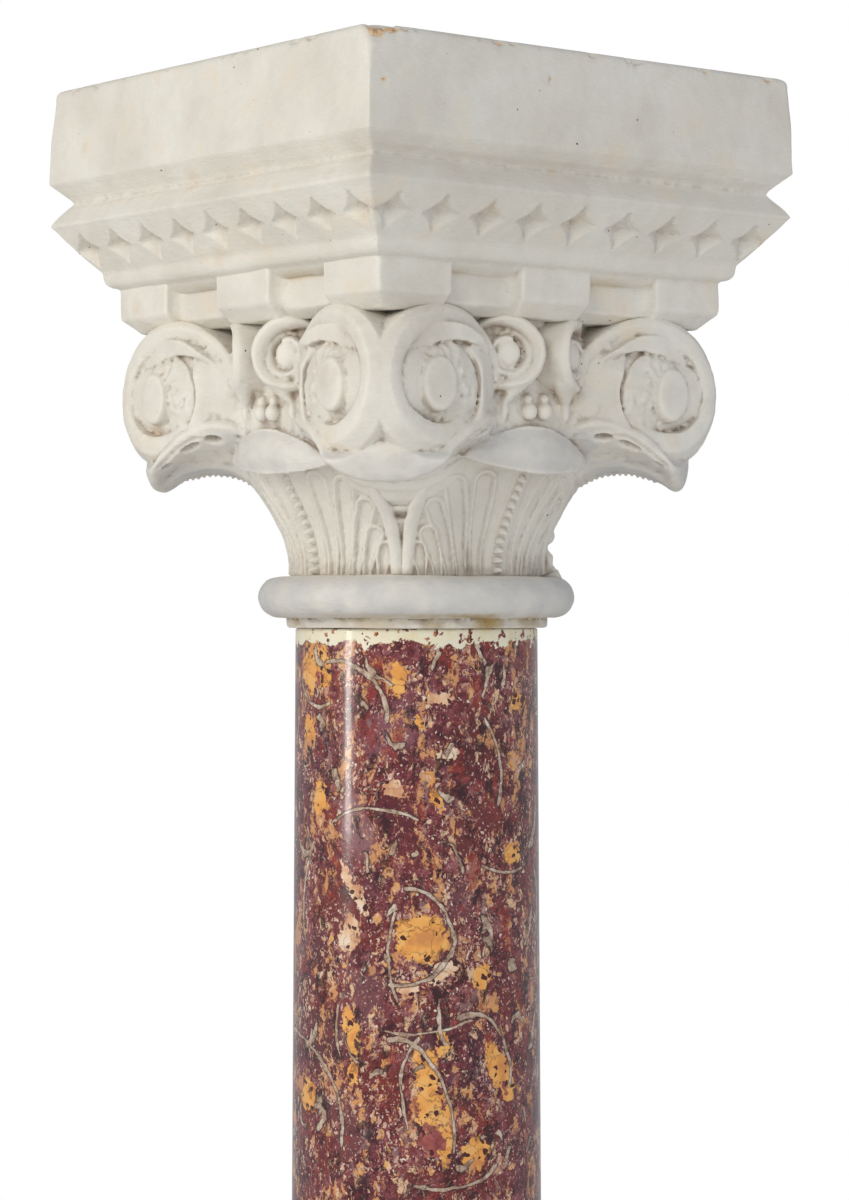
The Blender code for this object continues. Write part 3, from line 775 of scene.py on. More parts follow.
def scroll_tail():
    """The helix's tail, which hangs from it and tapers to a point."""
    rings = []
    for step in range(14):
        share = step / 13
        half = 0.0075 * (1 - share) ** 0.7 + 0.0008
        ring = []
        for turn in range(12):
            angle = 2 * pi * turn / 12
            ring.append(on_scroll(-0.010 + 0.013 * share + half * cos(angle),
                                  0.004 - 0.005 * share + half * 0.9 * sin(angle),
                                  -0.018 - 0.017 * share))
        rings.append(ring)
    return ring_form(rings)


def helix_forms():
    """A scroll beside the middle of a face, turned outwards: rim, inner coil, boss, floor and tail."""
    rim = scroll_band(28, 322, (1.12, 1.04, 1.0, 1.0, 0.98, 0.96, 1.06),
                      (0.12, 0.30, 0.36, 0.36, 0.34, 0.30, 0.10),
                      (0.002, 0.010, 0.0125, 0.0135, 0.0125, 0.010, 0.003), 66)
    coil = scroll_band(70, 470, (0.62, 0.64, 0.64, 0.62, 0.56, 0.50, 0.44),
                       (0.10, 0.17, 0.19, 0.19, 0.18, 0.16, 0.10),
                       (0.002, 0.0060, 0.0085, 0.0090, 0.0090, 0.0085, 0.0075), 72)
    top = 0.0088
    boss = scroll_disc(0.0098, ((1.15, -0.018), (1.05, 0.001), (0.92, top - 0.003), (0.68, top - 0.0008),
                                (0.3, top)), 28, 0.92)
    floor = scroll_disc(HELIX_RADIUS, ((0.95, -0.024), (0.95, -0.0010), (0.3, -0.0005)), 24)
    return [rim, coil, boss, floor, scroll_tail()]


def floret_forms():
    """The floret under the helices: two berries, two smaller ones over them, and a drop at each side."""
    forms = []
    for along, depth, share, radii in ((0.0064, 0.1262, 0.620, (0.0056, 0.0055, 0.0058)),
                                       (0.0066, 0.1250, 0.665, (0.0036, 0.0040, 0.0036)),
                                       (0.0265, 0.1240, 0.625, (0.0034, 0.0040, 0.0076))):
        forms += on_all_faces(round_form(on_face(along, depth, bell_level(share)), radii), True)
    return forms


def corner_leaf_section(along, half, low, side, high):
    """The corner leaf across its length: keel, coved side, rolled rim and back, given by their levels."""
    band = smoothstep(along, 0.100, 0.116) * (1 - smoothstep(along, 0.168, 0.179))
    roll = 0.0008 + 0.0030 * band
    section = []
    for step in range(22):
        share = step / 21
        cove = 0.0052 * band * sin(pi * min(max((share - 0.45) / 0.55, 0.0), 1.0))
        across = (half - roll * 1.3) * share - cove
        rise = low + (side - roll * 1.4 - low) * share ** (2.2 + 0.8 * share) + cove * 0.4
        section.append((across, rise))
    for step in range(7):
        turn = radians(-100 + 190 * step / 6)
        section.append((half - roll + roll * cos(turn), side + roll * 0.6 + roll * sin(turn)))
    section.append((half * 0.80, side + roll * 0.6 + (high - side) * 0.25))
    section.append((half * 0.50, high - 0.20 * (high - side)))
    section.append((0.0, high))
    return section + [(-across, height) for across, height in reversed(section[1:-1])]


def corner_leaf_form():
    """A corner leaf: a hull that rises off the bell, with rolled rims and a spoon for a tip."""
    # At shares of its reach: levels of keel, rim and back as shares of the bell, and share of its width
    reaches = (0.36, 0.53, 0.615, 0.72, 0.83, 0.90, 0.950, 0.982, 1.0)
    keels = (0.20, 0.274, 0.368, 0.407, 0.400, 0.366, 0.336, 0.362, 0.430)
    rims = (0.48, 0.520, 0.556, 0.566, 0.520, 0.462, 0.418, 0.415, 0.455)
    tops = (0.60, 0.62, 0.63, 0.61, 0.570, 0.525, 0.500, 0.484, 0.482)
    widths = (0.9, 1.26, 1.46, 1.42, 1.20, 1.00, 0.88, 0.62, 0.15)
    rows = 64
    rings = []
    for row in range(rows + 1):
        place = (len(reaches) - 1) * row / rows
        along = CORNER_LEAF_REACH * follow(reaches, place)
        half = CORNER_LEAF_HALF_WIDTH * follow(widths, place)
        low = bell_level(follow(keels, place))
        low += 0.0013 * sin(along * 2 * pi / 0.0058) * (1 - smoothstep(along, 0.112, 0.122))
        section = corner_leaf_section(along, half, low, bell_level(follow(rims, place)),
                                      bell_level(follow(tops, place)))
        rings.append([on_corner(along, across, height) for across, height in section])
    return ring_form(rings)


def face_leaf_form():
    """The smooth turned-over leaf tip in the middle of a face, an almond with a thin lower lip."""
    steps = 60
    rings = []
    for row in range(steps + 1):
        share = -1 + 2 * row / steps
        body = max(1 - abs(share) ** 1.75, 0.0) ** 0.72
        depth = 0.1165 + 0.0095 * body
        low = bell_level(0.428 - 0.044 * body - 0.012 * share)
        high = bell_level(0.436 + 0.124 * body - 0.012 * share)
        rise = high - low + 0.0004
        bulge = 0.0082 * body + 0.0005
        section = [(depth - 0.022, low + 0.0110 * body)]
        section.append((depth - 0.012 * body, low + 0.0060 * body))
        for step in range(15):
            part = step / 14
            swell = sin(pi * (0.16 + 0.70 * part)) ** 0.9
            turned_in = float(smoothstep(0.12 - part, 0.0, 0.12)) + float(smoothstep(part, 0.90, 1.0))
            lip = 0.0016 * body * turned_in
            section.append((depth - 0.0025 * body + bulge * swell + lip, low + rise * part))
        section.append((depth - 0.022, high - 0.001))
        rings.append([on_face(share * FACE_LEAF_HALF_LENGTH, out, height) for out, height in section])
    return ring_form(rings)


def beads_tree():
    """Node tree that sets pointed beads along a path, smaller towards its end."""
    tree = bpy.data.node_groups.new("Beads along a midrib", "GeometryNodeTree")
    tree.is_modifier = True
    face = tree.interface
    face.new_socket(name="Geometry", in_out="INPUT", socket_type="NodeSocketGeometry")
    for name, value in (("Pitch", BEAD_PITCH), ("First Width", 0.010), ("Last Width", 0.006),
                        ("Proud", 0.0050)):
        face.new_socket(name=name, in_out="INPUT", socket_type="NodeSocketFloat").default_value = value
    face.new_socket(name="Sideways", in_out="INPUT", socket_type="NodeSocketVector")
    face.new_socket(name="Material", in_out="INPUT", socket_type="NodeSocketMaterial")
    face.new_socket(name="Geometry", in_out="OUTPUT", socket_type="NodeSocketGeometry")
    given = add(tree, "NodeGroupInput").outputs
    curve = add(tree, "GeometryNodeMeshToCurve", {0: given["Geometry"]})
    points = add(tree, "GeometryNodeCurveToPoints", {"Curve": curve.outputs[0], "Length": given["Pitch"]},
                 mode="LENGTH")
    outward = add(tree, "ShaderNodeVectorMath", {0: given["Sideways"], 1: points.outputs["Tangent"]},
                  operation="CROSS_PRODUCT")
    turn = add(tree, "FunctionNodeAxesToRotation", {0: outward.outputs[0], 1: given["Sideways"]},
               primary_axis="Z", secondary_axis="X")
    index = add(tree, "GeometryNodeInputIndex")
    size = add(tree, "GeometryNodeAttributeDomainSize", {0: points.outputs[0]}, component="POINTCLOUD")
    part = add(tree, "ShaderNodeMath", {0: index.outputs[0], 1: size.outputs[0]}, operation="DIVIDE")
    width = add(tree, "ShaderNodeMapRange", {"Value": part.outputs[0], "To Min": given["First Width"],
                                             "To Max": given["Last Width"]})
    scale = add(tree, "ShaderNodeCombineXYZ", {"X": width.outputs[0], "Y": given["Pitch"],
                                               "Z": given["Proud"]})
    bead = add(tree, "GeometryNodeMeshCone", {"Vertices": 4, "Radius Top": 0.12, "Radius Bottom": 0.74,
                                              "Depth": 1.6}, fill_type="NGON")
    square = add(tree, "GeometryNodeTransform", {"Geometry": bead.outputs[0], "Rotation": (0, 0, pi / 4),
                                                 "Translation": (0, 0, -0.7)})
    beads = add(tree, "GeometryNodeInstanceOnPoints", {"Points": points.outputs[0],
                                                       "Instance": square.outputs[0],
                                                       "Rotation": turn.outputs[0],
                                                       "Scale": scale.outputs[0]})
    real = add(tree, "GeometryNodeRealizeInstances", {0: beads.outputs[0]})
    finish = add(tree, "GeometryNodeSetMaterial", {"Geometry": real.outputs[0],
                                                   "Material": given["Material"]})
    add(tree, "NodeGroupOutput", {0: finish.outputs[0]})
    return tree


BEADS = beads_tree()


def made_by_nodes(name, path, tree, values):
    """Run a node tree on a path of points and return the resulting mesh."""
    mesh = bpy.data.meshes.new(name)
    mesh.from_pydata(path, [(index, index + 1) for index in range(len(path) - 1)], [])
    thing = link(name, mesh)
    modifier = thing.modifiers.new(tree.name, "NODES")
    modifier.node_group = tree
    for item in tree.interface.items_tree:
        if item.name in values and item.in_out == "INPUT":
            modifier[item.identifier] = values[item.name]
    result = settle(thing)
    bpy.data.objects.remove(thing)
    return result


def mesh_form(mesh):
    """Points and faces of a mesh."""
    places, _ = read_points(mesh)
    return places, [tuple(face.vertices) for face in mesh.polygons]


def midrib_beads(material):
    """Beads up the midrib of each face."""
    rows = 24
    path = []
    for row in range(rows + 1):
        share = 0.022 + 0.350 * row / rows
        path.append(on_face(0.0, float(bell_radius(share)) + 0.0022, bell_level(share)))
    mesh = made_by_nodes("midrib_beads", path, BEADS, {"Sideways": (1.0, 0.0, 0.0), "Material": material})
    return on_all_faces(mesh_form(mesh))


def keel_beads(material):
    """Small beads under each corner leaf, out to its tip."""
    # Reach and height of the keel at stops; it is seated 19 mm higher
    keel = ((0.112, 0.0775), (0.117, 0.0805), (0.126, 0.0838), (0.139, 0.0855), (0.153, 0.0840),
            (0.163, 0.0812))
    path = []
    for row in range(61):
        place = (len(keel) - 1) * row / 60
        reach = follow([point[0] for point in keel], place)
        height = follow([point[1] for point in keel], place) + 0.019
        path.append(on_corner(reach + 0.0010, 0.0, height + 0.0012))
    diagonal = sqrt(0.5)
    mesh = made_by_nodes("keel_beads", path, BEADS, {"Sideways": (diagonal, diagonal, 0.0), "Pitch": 0.0040,
                                                     "Proud": 0.0022, "First Width": 0.0085,
                                                     "Last Width": 0.0075, "Material": material})
    return on_all_faces(mesh_form(mesh))


def press(places, normals, centre, radius, depth):
    """A hollow of a depth about a centre, soft at its edge, and the share of each vertex in it."""
    away = np.linalg.norm(places - np.array(centre), axis=1) / radius
    inside = smoothstep(1 - away, 0.0, 0.55)
    return -normals * (depth * inside)[:, None], inside


def lift_to_place(mesh, places):
    """Bring a part of the capital up from its own foot to its place on the shaft."""
    lifted = places + np.array((0.0, 0.0, CAPITAL_FOOT))
    lifted[:, 2] = np.maximum(lifted[:, 2], CAPITAL_FOOT)
    write_points(mesh, lifted)


def build_foliage(material):
    """The leaves, volutes, helices and florets, fused to one skin."""
    forms = [core_form(), block_form()]
    forms += on_all_faces(volute_form(), True)
    forms += on_all_faces(volute_eye_form(), True)
    for form in (ledge_form(), coil_form(), channel_form(), trunk_form()):
        forms += on_all_faces(form, True)
    for form in helix_forms():
        forms += on_all_faces(form, True)
    forms += floret_forms()
    forms += on_all_faces(corner_leaf_form())
    forms += on_all_faces(face_leaf_form())
    forms += keel_beads(material)
    thing = link("leaves_and_volutes", joined_mesh("leaves_and_volutes", forms))
    mesh = fuse(thing, VOXEL, 1)
    hand_worked(mesh, ((0.045, 0.0010), (0.013, 0.00050), (0.0045, 0.00022)))
    drill_slots(mesh)
    thin_out(thing, FOLIAGE_TRIANGLES)
    places, _ = read_points(thing.data)
    lift_to_place(thing.data, places)
    finish_painted(thing, material)
    return thing


def build_bell(material):
    """The foot of the capital: neck, astragal, and the bell with its palmettes and beaded midribs."""
    forms = [neck_form(), bell_form()] + midrib_beads(material)
    thing = link("bell_with_palmettes", joined_mesh("bell_with_palmettes", forms))
    mesh = thing.data
    mesh.shade_smooth()
    hand_worked(mesh, ((0.045, 0.0008), (0.012, 0.00045), (0.0040, 0.00020)))
    places, normals = read_points(mesh)
    neck = 1 - smoothstep(places[:, 2], NECK_HEIGHT, NECK_HEIGHT + 0.004)
    # The neck is rough, but level at its foot where it stands on the shaft
    sideways = normals * (1.0, 1.0, 0.0)
    places = places + sideways * (neck * (0.0022 * field(places, 0.0085, 21) - 0.0010))[:, None]
    places = repair_lumps(places, normals)
    lift_to_place(mesh, places)
    finish_painted(thing, material, 0.0024)
    return thing


def repair_lumps(places, normals):
    """Filler smeared over an old break where the bell meets the astragal on the right."""
    # Angle to the right of the near corner, radius, height, size and how far it stands proud
    lumps = ((50, 0.090, 0.045, 0.010, 0.0050), (53, 0.093, 0.037, 0.008, 0.0055),
             (46, 0.092, 0.062, 0.007, 0.0030))
    for angle, radius, height, size, proud in lumps:
        turn = CAMERA_AZIMUTH + radians(angle + 38)
        centre = (radius * sin(turn), -radius * cos(turn), height)
        moved, _ = press(places, normals, centre, size, -proud)
        places = places + moved
    return places


def build_band(material):
    """The dentil band under the cornice."""
    thing = link("dentil_band", joined_mesh("dentil_band", band_forms()))
    mesh = fuse(thing, BAND_VOXEL, 2)
    hand_worked(mesh, ((0.040, 0.0009), (0.012, 0.00045), (0.0045, 0.00020)))
    thin_out(thing, BAND_TRIANGLES)
    places, _ = read_points(thing.data)
    lift_to_place(thing.data, places)
    finish_painted(thing, material)
    return thing


def drill_slots(mesh):
    """Drilled slits under the rims of the corner leaves."""
    places, normals = read_points(mesh)
    shift = np.zeros_like(places)
    # Each slit's place out along the corner and to its side, its height and half its length
    slits = ((0.1320, 0.0600, 0.1270, 0.0070), (0.1500, 0.0530, 0.1210, 0.0090),
             (0.1660, 0.0430, 0.1090, 0.0070))
    for turns in range(FACES):
        out = quarter_turned(np.array([on_corner(1.0, 0.0, 0.0)]), turns)[0]
        side = quarter_turned(np.array([on_corner(0.0, 1.0, 0.0)]), turns)[0]
        for mirrored in (1, -1):
            for reach, across, height, length in slits:
                middle = np.array([on_corner(reach, across * mirrored, height)])
                away = places - quarter_turned(middle, turns)[0]
                # The outer two lean down with the leaf
                drop = away[:, 2] + 0.45 * (away @ out) * (reach > 0.14)
                far = np.sqrt((away @ out / length) ** 2 + (away @ side / 0.0100) ** 2
                              + (drop / 0.0030) ** 2)
                shift -= normals * (0.0075 * smoothstep(1 - far, 0.0, 0.40))[:, None]
    write_points(mesh, places + shift)


def star_depth(along, up):
    """Depth of the row of chip-cut stars at a place along a face and up the slope from the stars' middle."""
    nearest = np.clip(np.round(along / STAR_PITCH), -(STAR_COUNT // 2), STAR_COUNT // 2)
    across = np.abs(along - nearest * STAR_PITCH) / STAR_HALF_WIDTH
    rise = np.abs(up) / STAR_HALF_HEIGHT
    spread = across ** 0.70 + rise ** 0.70
    return np.clip(1 - spread, 0.0, 1.0) ** 0.75 * STAR_DEPTH * 1.35


def cornice_profile():
    """Half sides and levels of the cornice and slab, from its hidden foot to the middle of its top."""
    # The ovolo: half sides, and rises from the dentils' heads
    ovolo = ((0.120, -0.006), (0.140, -0.006), (0.1465, -0.001), (0.1485, 0.0006), (0.1512, 0.0012),
             (0.1532, 0.0024), (0.1548, 0.0044), (0.1558, 0.0070), (0.1562, 0.0098))
    profile = [(half, DENTIL_HEAD + rise) for half, rise in ovolo]
    for step in range(SLOPE_STEPS + 1):
        share = step / SLOPE_STEPS
        profile.append((OVOLO_FACE + (RIDGE_FACE - 0.0016 - OVOLO_FACE) * share + 0.0006 * sin(pi * share),
                        OVOLO_HEAD + (RIDGE_LEVEL - 0.0022 - OVOLO_HEAD) * share))
    profile += [(RIDGE_FACE - 0.0004, RIDGE_LEVEL - 0.0008), (RIDGE_FACE, RIDGE_LEVEL + 0.0008),
                (RIDGE_FACE - 0.0008, RIDGE_LEVEL + 0.0026)]
    for step in range(1, 7):
        share = step / 7
        profile.append((RIDGE_FACE - 0.0008 + (GROOVE_FACE - RIDGE_FACE + 0.0008) * share,
                        RIDGE_LEVEL + 0.0026 + (GROOVE_LEVEL - RIDGE_LEVEL - 0.0026) * share ** 0.85))
    profile += [(GROOVE_FACE, GROOVE_LEVEL), (GROOVE_FACE + 0.0008, GROOVE_LEVEL + 0.0012)]
    for step in range(1, 6):
        share = step / 6
        profile.append((GROOVE_FACE + 0.0008 + (SLAB_FACE - GROOVE_FACE - 0.0020) * share,
                        GROOVE_LEVEL + 0.0012 + (SLAB_FOOT - GROOVE_LEVEL - 0.0016) * share))
    profile += [(SLAB_FACE - 0.0006, SLAB_FOOT + 0.0002), (SLAB_FACE, SLAB_FOOT + 0.0016)]
    edge = 0.0058
    for step in range(1, 19):
        share = step / 18
        profile.append((SLAB_FACE - SLAB_BATTER * share,
                        SLAB_FOOT + 0.0016 + (SLAB_TOP - edge - SLAB_FOOT - 0.0016) * share))
    profile += arc(SLAB_FACE - SLAB_BATTER - edge, SLAB_TOP - edge, edge, edge, 0, 90, 6)[1:]
    profile += [(SLAB_FACE * share, SLAB_TOP) for share in (0.93, 0.86, 0.72, 0.55, 0.38, 0.20, 0.06)]
    return profile


def round_corners(ring, half, radius):
    """Round the corners of a square ring of points."""
    flat = np.abs(ring[:, :2]) - (half - radius)
    inside = (flat > 0).all(axis=1)
    reach = flat[inside].max(axis=1) / np.linalg.norm(flat[inside], axis=1)
    ring[inside, :2] = np.sign(ring[inside, :2]) * (half - radius + flat[inside] * reach[:, None])
    return ring


def build_cornice(material):
    """The square top of the capital: ovolo, slope with stars, ridge, groove and slab."""
    shares = np.linspace(-1, 1, CORNICE_STEPS, endpoint=False)
    foot = Vector((OVOLO_FACE, OVOLO_HEAD))
    head = Vector((RIDGE_FACE, RIDGE_LEVEL))
    up = (head - foot).normalized()
    middle = foot + up * STAR_MIDDLE
    rings = []
    for index, (half, level) in enumerate(cornice_profile()):
        along = shares * half
        inset = np.zeros(CORNICE_STEPS)
        if SLOPE_START <= index <= SLOPE_START + SLOPE_STEPS:
            inset = star_depth(along, (Vector((half, level)) - middle).dot(up))
            inset = inset * smoothstep(np.abs(half) - np.abs(along) + 0.004, 0.0, 0.004)
        side = np.column_stack((along, -(half - inset * up.y), level + inset * up.x))
        ring = np.concatenate([quarter_turned(side, turns) for turns in range(FACES)])
        wear = 0.0022 + 0.0045 * smoothstep(level, SLAB_TOP - 0.040, SLAB_TOP - 0.004)
        rings.append(round_corners(ring, half, wear * min(1.0, half / SLAB_FACE)))
    thing = link("cornice_and_slab", joined_mesh("cornice_and_slab", [ring_form(rings)]))
    mesh = thing.data
    mesh.shade_smooth()
    places, normals = read_points(mesh)
    lift = 0.0011 * field(places, 0.110, 11) + 0.0006 * field(places, 0.030, 12)
    lift += 0.00028 * field(places, 0.009, 13)
    top = smoothstep(places[:, 2], SLAB_TOP - 0.004, SLAB_TOP)
    places = places + normals * (lift * (1 - 0.85 * top) - 0.0009)[:, None]
    shift, lost = edge_chips(places, normals)
    places += shift
    places[:, 2] = np.minimum(places[:, 2], SLAB_TOP) + CAPITAL_FOOT
    limit = cad_box[1][0]
    places[:, :2] = np.clip(places[:, :2], -limit, limit)
    write_points(mesh, places)
    store(mesh, "chip", lost)
    finish_painted(thing, material, 0.0075)
    return thing


def edge_chips(places, normals):
    """Chips at the near corner, on the front face and along the slab's upper edge."""
    shift = np.zeros_like(places)
    lost = np.zeros(len(places))
    # Chips at the near corner: place along the front face, depth, distance under the top, radius and depth
    near = ((-0.1740, 0.1800, 0.002, 0.0120, 0.0034), (-0.1620, 0.1805, 0.001, 0.0080, 0.0026),
            (-0.1530, 0.1812, 0.0, 0.0050, 0.0022), (-0.1700, 0.1822, 0.036, 0.0030, 0.0012),
            (-0.0350, 0.1822, 0.022, 0.0022, 0.0014))
    for along, depth, below, radius, deep in near:
        moved, inside = press(places, normals, on_face(along, depth, SLAB_TOP - below), radius, deep)
        shift += moved
        lost = np.maximum(lost, inside)
    draw = np.random.default_rng(7)
    for turns in range(FACES):
        for _ in range(16):
            along = draw.uniform(-0.162, 0.162)
            radius = draw.uniform(0.0022, 0.0055)
            centre = np.array([on_face(along, 0.1805, SLAB_TOP - draw.uniform(0.0, 0.003))])
            moved, inside = press(places, normals, quarter_turned(centre, turns)[0], radius, radius * 0.45)
            shift += moved
            lost = np.maximum(lost, inside * draw.uniform(0.2, 0.9))
    return shift, lost


def grey_coat_share(places):
    """Share of the greyer, glossier coat, on the astragal and on the leaves' turned-down tips."""
    height = places[:, 2] - CAPITAL_FOOT
    radius = np.hypot(places[:, 0], places[:, 1])
    ring = smoothstep(height, 0.006, 0.010) * (1 - smoothstep(height, 0.033, 0.036))
    low = np.minimum(np.abs(places[:, 0]), np.abs(places[:, 1]))
    face_side = 1 - smoothstep(low, 0.050, 0.060)
    head = 0.113 + 0.019 * face_side
    tips = smoothstep(radius, 0.119, 0.128) * smoothstep(height, 0.088, 0.100)
    tips = tips * (1 - smoothstep(height - head, -0.002, 0.002))
    return np.maximum(ring, tips * 0.75)


def stain_share(places):
    """Share of the ochre stain, on the neck's near right and in the recesses between the dentils."""
    height = places[:, 2] - CAPITAL_FOOT
    stain = smoothstep(height, -0.002, 0.001) * (1 - smoothstep(height, 0.0080, 0.011))
    around = np.degrees(np.arctan2(places[:, 0], -places[:, 1])) - np.degrees(CAMERA_AZIMUTH)
    stain = stain * (0.25 + 0.75 * np.exp(-((around - 24) / 26) ** 2))
    from_axis = np.maximum(np.abs(places[:, 0]), np.abs(places[:, 1]))
    under_cornice = smoothstep(height, DENTIL_HEAD - 0.0085, DENTIL_HEAD - 0.001)
    under_cornice = under_cornice * (1 - smoothstep(height, DENTIL_HEAD, DENTIL_HEAD + 0.001))
    return np.maximum(stain, 0.9 * under_cornice * (from_axis < DENTIL_FACE - 0.004))


def finish_painted(thing, material, crease_scale=0.0016):
    """Store wear, dirt and the painted shade of hollows and creases on a painted piece, and give it its
    material.
    """
    mesh = thing.data
    mesh.materials.clear()
    mesh.materials.append(material)
    mesh.shade_smooth()
    hollow = crease_depth(mesh, CREASE_ROUNDS, crease_scale)
    places, _ = read_points(mesh)
    # Grime and painted shade: vertices sunk below their surroundings are darkened in broken lines by the
    # material
    store(mesh, "crease_grime_and_shade", hollow)
    store(mesh, "arris", -hollow)
    # Painted shade and dirt: the share of sky hidden from each vertex darkens it in the material
    store(mesh, "shelter_shade_and_dust", shelter(mesh, SHELTER_REACH))
    store(mesh, "grey_coat", grey_coat_share(places))
    store(mesh, "stain", stain_share(places))
    if "chip" not in mesh.attributes:
        store(mesh, "chip", np.zeros(len(places)))


def base_profile():
    """Radii and levels of the base's turned part: torus, fillet, scotia, fillet, torus and seat."""
    lower = 0.016
    upper = 0.009
    fillet = 0.004
    profile = [(0.114, PLINTH_HEIGHT - 0.010)]
    profile += arc(0.114, PLINTH_HEIGHT + lower, lower, lower, -90, 90, 20)
    level = PLINTH_HEIGHT + 0.032
    profile += [(0.124, level + 0.0004), (0.124, level + fillet)]
    scotia = 14
    for step in range(1, scotia):
        part = step / scotia
        line = 0.124 + (0.110 - 0.124) * part
        profile.append((line - 0.0075 * sin(pi * part), level + fillet + 0.018 * part))
    level += fillet + 0.018
    profile += [(0.110, level), (0.110, level + fillet)]
    level += fillet
    profile += arc(0.104, level + upper, upper, upper, -90, 90, 16)
    return profile + [(0.101, level + 0.0185), (0.101, BASE_TOP)]


def build_base(material):
    """The base as one block: plinth, lower torus, scotia and upper torus."""
    edge = 0.0035
    square = [(PLINTH_HALF, 0.0), (PLINTH_HALF, PLINTH_HEIGHT - edge)]
    square += arc(PLINTH_HALF - edge, PLINTH_HEIGHT - edge, edge, edge, 0, 90, 4)[1:]
    forms = [turned_form(base_profile(), 256)]
    forms.append(ring_form([square_ring(half, level) for half, level in square]))
    thing = link("moulded_base", joined_mesh("moulded_base", forms))
    mesh = fuse(thing, BASE_VOXEL, 2)
    hand_worked(mesh, ((0.060, 0.0009), (0.018, 0.0004), (0.006, 0.00018)))
    places, _ = read_points(mesh)
    places[:, :2] = np.clip(places[:, :2], -PLINTH_HALF, PLINTH_HALF)
    places[:, 2] = np.clip(places[:, 2], 0.0, BASE_TOP)
    places[places[:, 2] < BASE_VOXEL, 2] = 0.0
    write_points(mesh, places)
    thin_out(thing, BASE_TRIANGLES)
    finish_painted(thing, material, 0.0050)
    return thing


def shaft_tree():
    """Node tree that sweeps a round section up a line, with a taper and a swelling."""
    tree = bpy.data.node_groups.new("Turned shaft", "GeometryNodeTree")
    tree.is_modifier = True
    face = tree.interface
    face.new_socket(name="Geometry", in_out="INPUT", socket_type="NodeSocketGeometry")
    for name, value in (("Foot Radius", 0.09), ("Head Radius", 0.08), ("Swelling", 1.2)):
        face.new_socket(name=name, in_out="INPUT", socket_type="NodeSocketFloat").default_value = value
    for name, value in (("Rings", 60), ("Sides", 192)):
        face.new_socket(name=name, in_out="INPUT", socket_type="NodeSocketInt").default_value = value
    face.new_socket(name="Material", in_out="INPUT", socket_type="NodeSocketMaterial")
    face.new_socket(name="Geometry", in_out="OUTPUT", socket_type="NodeSocketGeometry")
    given = add(tree, "NodeGroupInput").outputs
    line = add(tree, "GeometryNodeMeshToCurve", {0: given["Geometry"]})
    axis = add(tree, "GeometryNodeResampleCurve", {"Curve": line.outputs[0], "Count": given["Rings"]})
    place = add(tree, "GeometryNodeSplineParameter")
    swell = add(tree, "ShaderNodeMath", {0: place.outputs["Factor"], 1: given["Swelling"]},
                operation="POWER")
    radius = add(tree, "ShaderNodeMapRange", {"Value": swell.outputs[0], "To Min": given["Foot Radius"],
                                              "To Max": given["Head Radius"]})
    section = add(tree, "GeometryNodeCurvePrimitiveCircle", {"Resolution": given["Sides"], "Radius": 1.0})
    swept = add(tree, "GeometryNodeCurveToMesh", {"Curve": axis.outputs[0],
                                                  "Profile Curve": section.outputs[0],
                                                  "Scale": radius.outputs[0], "Fill Caps": True})
    real = add(tree, "GeometryNodeRealizeInstances", {0: swept.outputs[0]})
    finish = add(tree, "GeometryNodeSetMaterial", {"Geometry": real.outputs[0],
                                                   "Material": given["Material"]})
    add(tree, "NodeGroupOutput", {0: finish.outputs[0]})
    return tree


def build_shaft(material):
    """The turned and polished marble shaft."""
    path = [(0.0, 0.0, SHAFT_BOX[0].z), (0.0, 0.0, SHAFT_BOX[1].z)]
    mesh = made_by_nodes("marble_shaft", path, shaft_tree(),
                         {"Foot Radius": SHAFT_FOOT_RADIUS, "Head Radius": SHAFT_HEAD_RADIUS,
                          "Swelling": SWELLING, "Rings": 80, "Sides": 224, "Material": material})
    thing = link("marble_shaft", mesh)
    arris = thing.modifiers.new("Worn arris", "BEVEL")
    arris.width = 0.0014
    arris.segments = 3
    arris.limit_method = "ANGLE"
    arris.angle_limit = radians(60)
    mesh = settle(thing)
    shape = bmesh.new()
    shape.from_mesh(mesh)
    bmesh.ops.recalc_face_normals(shape, faces=shape.faces)
    shape.to_mesh(mesh)
    shape.free()
    mesh.shade_smooth()
    mesh.set_sharp_from_angle(angle=radians(50))
    return thing


def lay(tree, below, above, value, low=0.0, high=1.0, most=1.0):
    """Lay a colour over another where a value goes from low to high, up to the most that it covers."""
    cover = add(tree, "ShaderNodeMapRange", {"Value": value, "From Min": low, "From Max": high,
                                             "To Max": most})
    return add(tree, "ShaderNodeMix", {0: cover.outputs[0], 6: below, 7: above}, data_type="RGBA").outputs[2]


